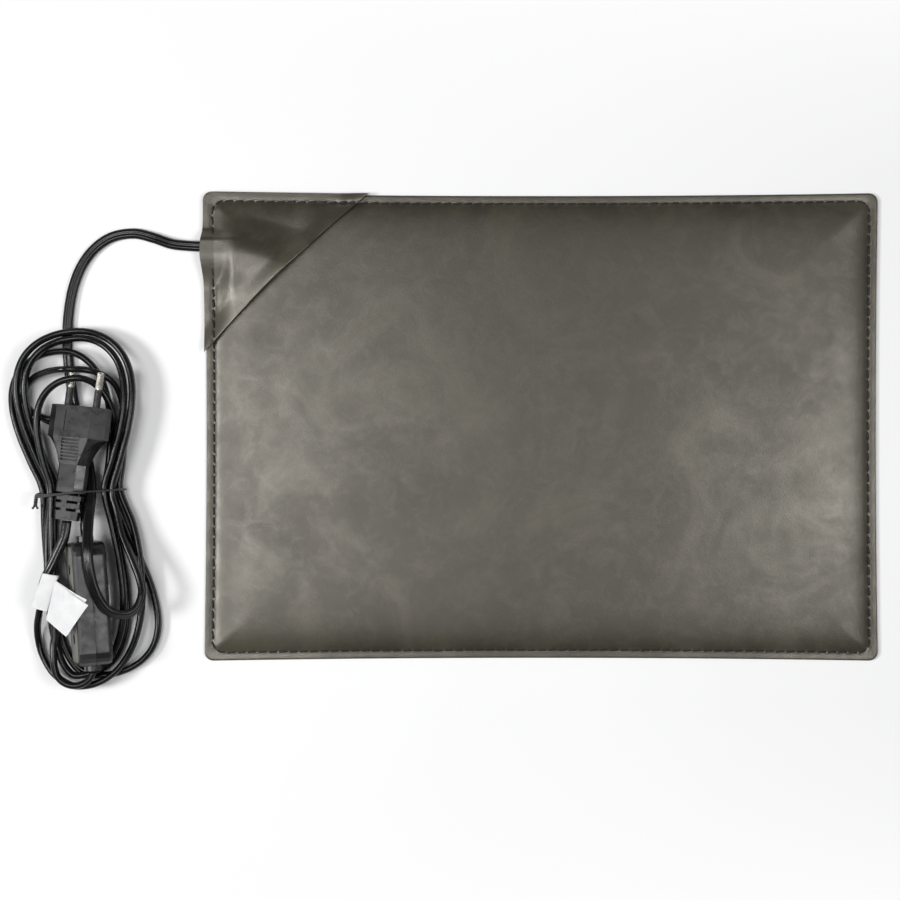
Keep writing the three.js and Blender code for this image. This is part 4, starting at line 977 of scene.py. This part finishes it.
def label(name, corners, rise, bend, slip):
    """A bare flag of label paper, folded over the cord: two layers that part a little towards the free edge.
    rise gives its height over x, bend how much it is arched across, slip where the under layer's edge shows."""
    a, b, c, d = (np.array(corner, float) for corner in corners)
    u, v = np.meshgrid(np.linspace(0, 1, 26), np.linspace(0, 1, 26), indexing="ij")
    s, t = u[..., None], v[..., None]
    parts = []
    for share, gap in ((0, 0), (1, 0.45)):
        flat = (1 - s) * ((1 - t) * a + t * b) + s * ((1 - t) * d + t * c)
        flat = flat + share * t * np.array(slip, float)
        z = np.interp(flat[..., 0] * rise[0] + flat[..., 1] * (1 - rise[0]), *rise[1]) - gap - 0.8 * share * v
        z = z + bend * (1 - (2 * v - 1) ** 2) + 0.25 * np.sin(3 * u + 2 * v)
        top = np.concatenate([flat, z[..., None]], 2).reshape(-1, 3)
        under = top - [0, 0, PAPER_THICK]
        rows, columns = u.shape
        faces = grid_faces(rows, columns) + grid_faces(rows, columns, rows * columns, flip=True)
        edge = [(0, i) for i in range(columns)] + [(i, columns - 1) for i in range(1, rows)]
        edge += [(rows - 1, i) for i in range(columns - 2, -1, -1)] + [(i, 0) for i in range(rows - 2, 0, -1)]
        ids = [r * columns + k for r, k in edge]
        for i, j in zip(ids, ids[1:] + ids[:1]):
            faces.append([j, i, i + rows * columns, j + rows * columns])
        parts.append((np.concatenate([top, under]), faces))
    obj = mesh_object(name, *joined(parts), label_paper)
    weld(obj)
    sharpen(obj, 40)
    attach(obj, BODY)
    return obj


tie = mesh_object("twisted_tie", *wire_tie(), tie_vinyl)
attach(tie, BODY)
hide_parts("wire_tie")

# Heights of the labels along y and along x, and their corners
FLAG_ALONG = ([-98, -92, -86, -80, -76], [17.2, 18.6, 20.2, 21.4, 21.8])
FLAG_ACROSS = ([-263, -257.5, -254, -249, -243, -237], [16.2, 20.4, 23.4, 27.6, 31.9, 34])
FLAT_CORNERS = [(-262.1, -76.9), (-254.2, -78.5), (-260.8, -97.4), (-268.7, -95.2)]
LEANING_CORNERS = [(-255.3, -80.6), (-235.8, -92.6), (-248.5, -109.6), (-261.2, -101.5)]
flag_1 = label("label_flat", FLAT_CORNERS, (0, FLAG_ALONG), 0.6, (0.3, 0.2))
flag_2 = label("label_leaning", LEANING_CORNERS, (1, FLAG_ACROSS), 0.5, (-1, 2.7))
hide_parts("cord_label_1")
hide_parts("cord_label_2")


# Carried-over nodes

for name, material in NODE_FINISH.items():
    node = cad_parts[name]
    node.data.materials.clear()
    node.data.materials.append(material)

for name, width in EDGES.items():
    round_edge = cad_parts[name].modifiers.new("round_edge", "BEVEL")
    round_edge.width, round_edge.segments, round_edge.limit_method = width * MM, 3, "ANGLE"
    round_edge.angle_limit = math.radians(32)
    round_edge.harden_normals = False
    smooth_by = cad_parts[name].modifiers.new("even", "WEIGHTED_NORMAL")
    smooth_by.keep_sharp = True

free_cord = twin_cord("cord_free", TO_SWITCH)
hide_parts("cord_mat_to_switch")
hank = twin_cord("cord_bundle", hank_points)
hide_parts("cord_hank")


# Floor, light and camera


def floor():
    """A pale floor that keeps the object's shadow and is plain white, as seen or mirrored, beyond it."""
    n = Nodes("pale_floor")
    tint = n.mix(n.span(n.noise(260, 3), 0.0, 1.0), (0.93, 0.93, 0.935), (0.95, 0.95, 0.952))
    n.finish(tint, 0.8, Specular_IOR_Level=0.1)
    apart, rays = n.add("ShaderNodeSeparateXYZ"), n.add("ShaderNodeLightPath")
    n.link(n.place, apart.inputs[0])
    beyond = []
    for axis, middle, half in OBJECT_SPAN:
        distance = n.math("ABSOLUTE", n.math("SUBTRACT", apart.outputs[axis], middle), 0)
        beyond.append(n.math("SUBTRACT", distance, half))
    away = n.span(n.math("MAXIMUM", *beyond), 0.0, 1.0, (0.0, WHITE_AFTER))
    mirrored = n.math("MAXIMUM", rays.outputs["Is Glossy Ray"], rays.outputs["Is Transmission Ray"])
    seen = n.math("MAXIMUM", rays.outputs["Is Camera Ray"], mirrored)
    white, mixed = n.add("ShaderNodeEmission"), n.add("ShaderNodeMixShader")
    n.link(n.math("MULTIPLY", away, seen), mixed.inputs[0])
    n.link(n.shader.outputs[0], mixed.inputs[1])
    n.link(white.outputs[0], mixed.inputs[2])
    n.link(mixed.outputs[0], n.tree.nodes["Material Output"].inputs["Surface"])
    steps = np.linspace(-FLOOR_HALF_MM, FLOOR_HALF_MM, 5)
    x, y = np.meshgrid(steps, steps)
    points = np.stack([x, y, np.full_like(x, FLOOR_Z_MM)], -1).reshape(-1, 3)
    return mesh_object("floor", points, grid_faces(5, 5), n.material)


floor()


def lamp(name, place, aim, size, power):
    data = bpy.data.lights.new(name, "AREA")
    data.shape, data.size, data.energy = "DISK", size, power
    obj = bpy.data.objects.new(name, data)
    bpy.context.scene.collection.objects.link(obj)
    obj.location = place
    obj.rotation_euler = (Vector(aim) - Vector(place)).to_track_quat("-Z", "Y").to_euler()


for name, settings in LAMPS.items():
    lamp(name, *settings)


def studio():
    """A soft ceiling over a white surround; what is seen, mirrored or seen through meets the white one."""
    world = bpy.data.worlds.new("studio")
    bpy.context.scene.world = world
    world.use_nodes = True
    nodes, links = world.node_tree.nodes, world.node_tree.links
    ceiling, white = nodes["Background"], nodes.new("ShaderNodeBackground")
    mixed = nodes.new("ShaderNodeMixShader")
    ceiling.inputs["Color"].default_value = CEILING_COLOUR
    ceiling.inputs["Strength"].default_value = CEILING_STRENGTH
    white.inputs["Color"].default_value = (1, 1, 1, 1)
    rays, apart = nodes.new("ShaderNodeLightPath"), nodes.new("ShaderNodeSeparateXYZ")
    links.new(nodes.new("ShaderNodeTexCoord").outputs["Generated"], apart.inputs[0])
    low = nodes.new("ShaderNodeMapRange")
    spans = (("From Min", SURROUND_FULL), ("From Max", SURROUND_GONE), ("To Min", 1), ("To Max", 0))
    for key, value in spans:
        low.inputs[key].default_value = value
    links.new(apart.outputs["Z"], low.inputs["Value"])

    def combine(operation, a, b):
        node = nodes.new("ShaderNodeMath")
        node.operation = operation
        links.new(a, node.inputs[0])
        links.new(b, node.inputs[1])
        return node.outputs[0]

    mirrored = combine("MAXIMUM", rays.outputs["Is Glossy Ray"], rays.outputs["Is Transmission Ray"])
    surround = combine("MULTIPLY", mirrored, low.outputs["Result"])
    links.new(combine("MAXIMUM", rays.outputs["Is Camera Ray"], surround), mixed.inputs[0])
    links.new(ceiling.outputs[0], mixed.inputs[1])
    links.new(white.outputs[0], mixed.inputs[2])
    links.new(mixed.outputs[0], nodes["World Output"].inputs["Surface"])


studio()

camera = bpy.data.objects.new("camera", bpy.data.cameras.new("camera"))
bpy.context.scene.collection.objects.link(camera)
camera.location = CAMERA_PLACE
camera.data.sensor_width = CAMERA_SENSOR
camera.data.lens = CAMERA_LENS
camera.data.clip_start = 0.01
bpy.context.scene.camera = camera
bpy.context.scene.view_settings.view_transform = "Standard"
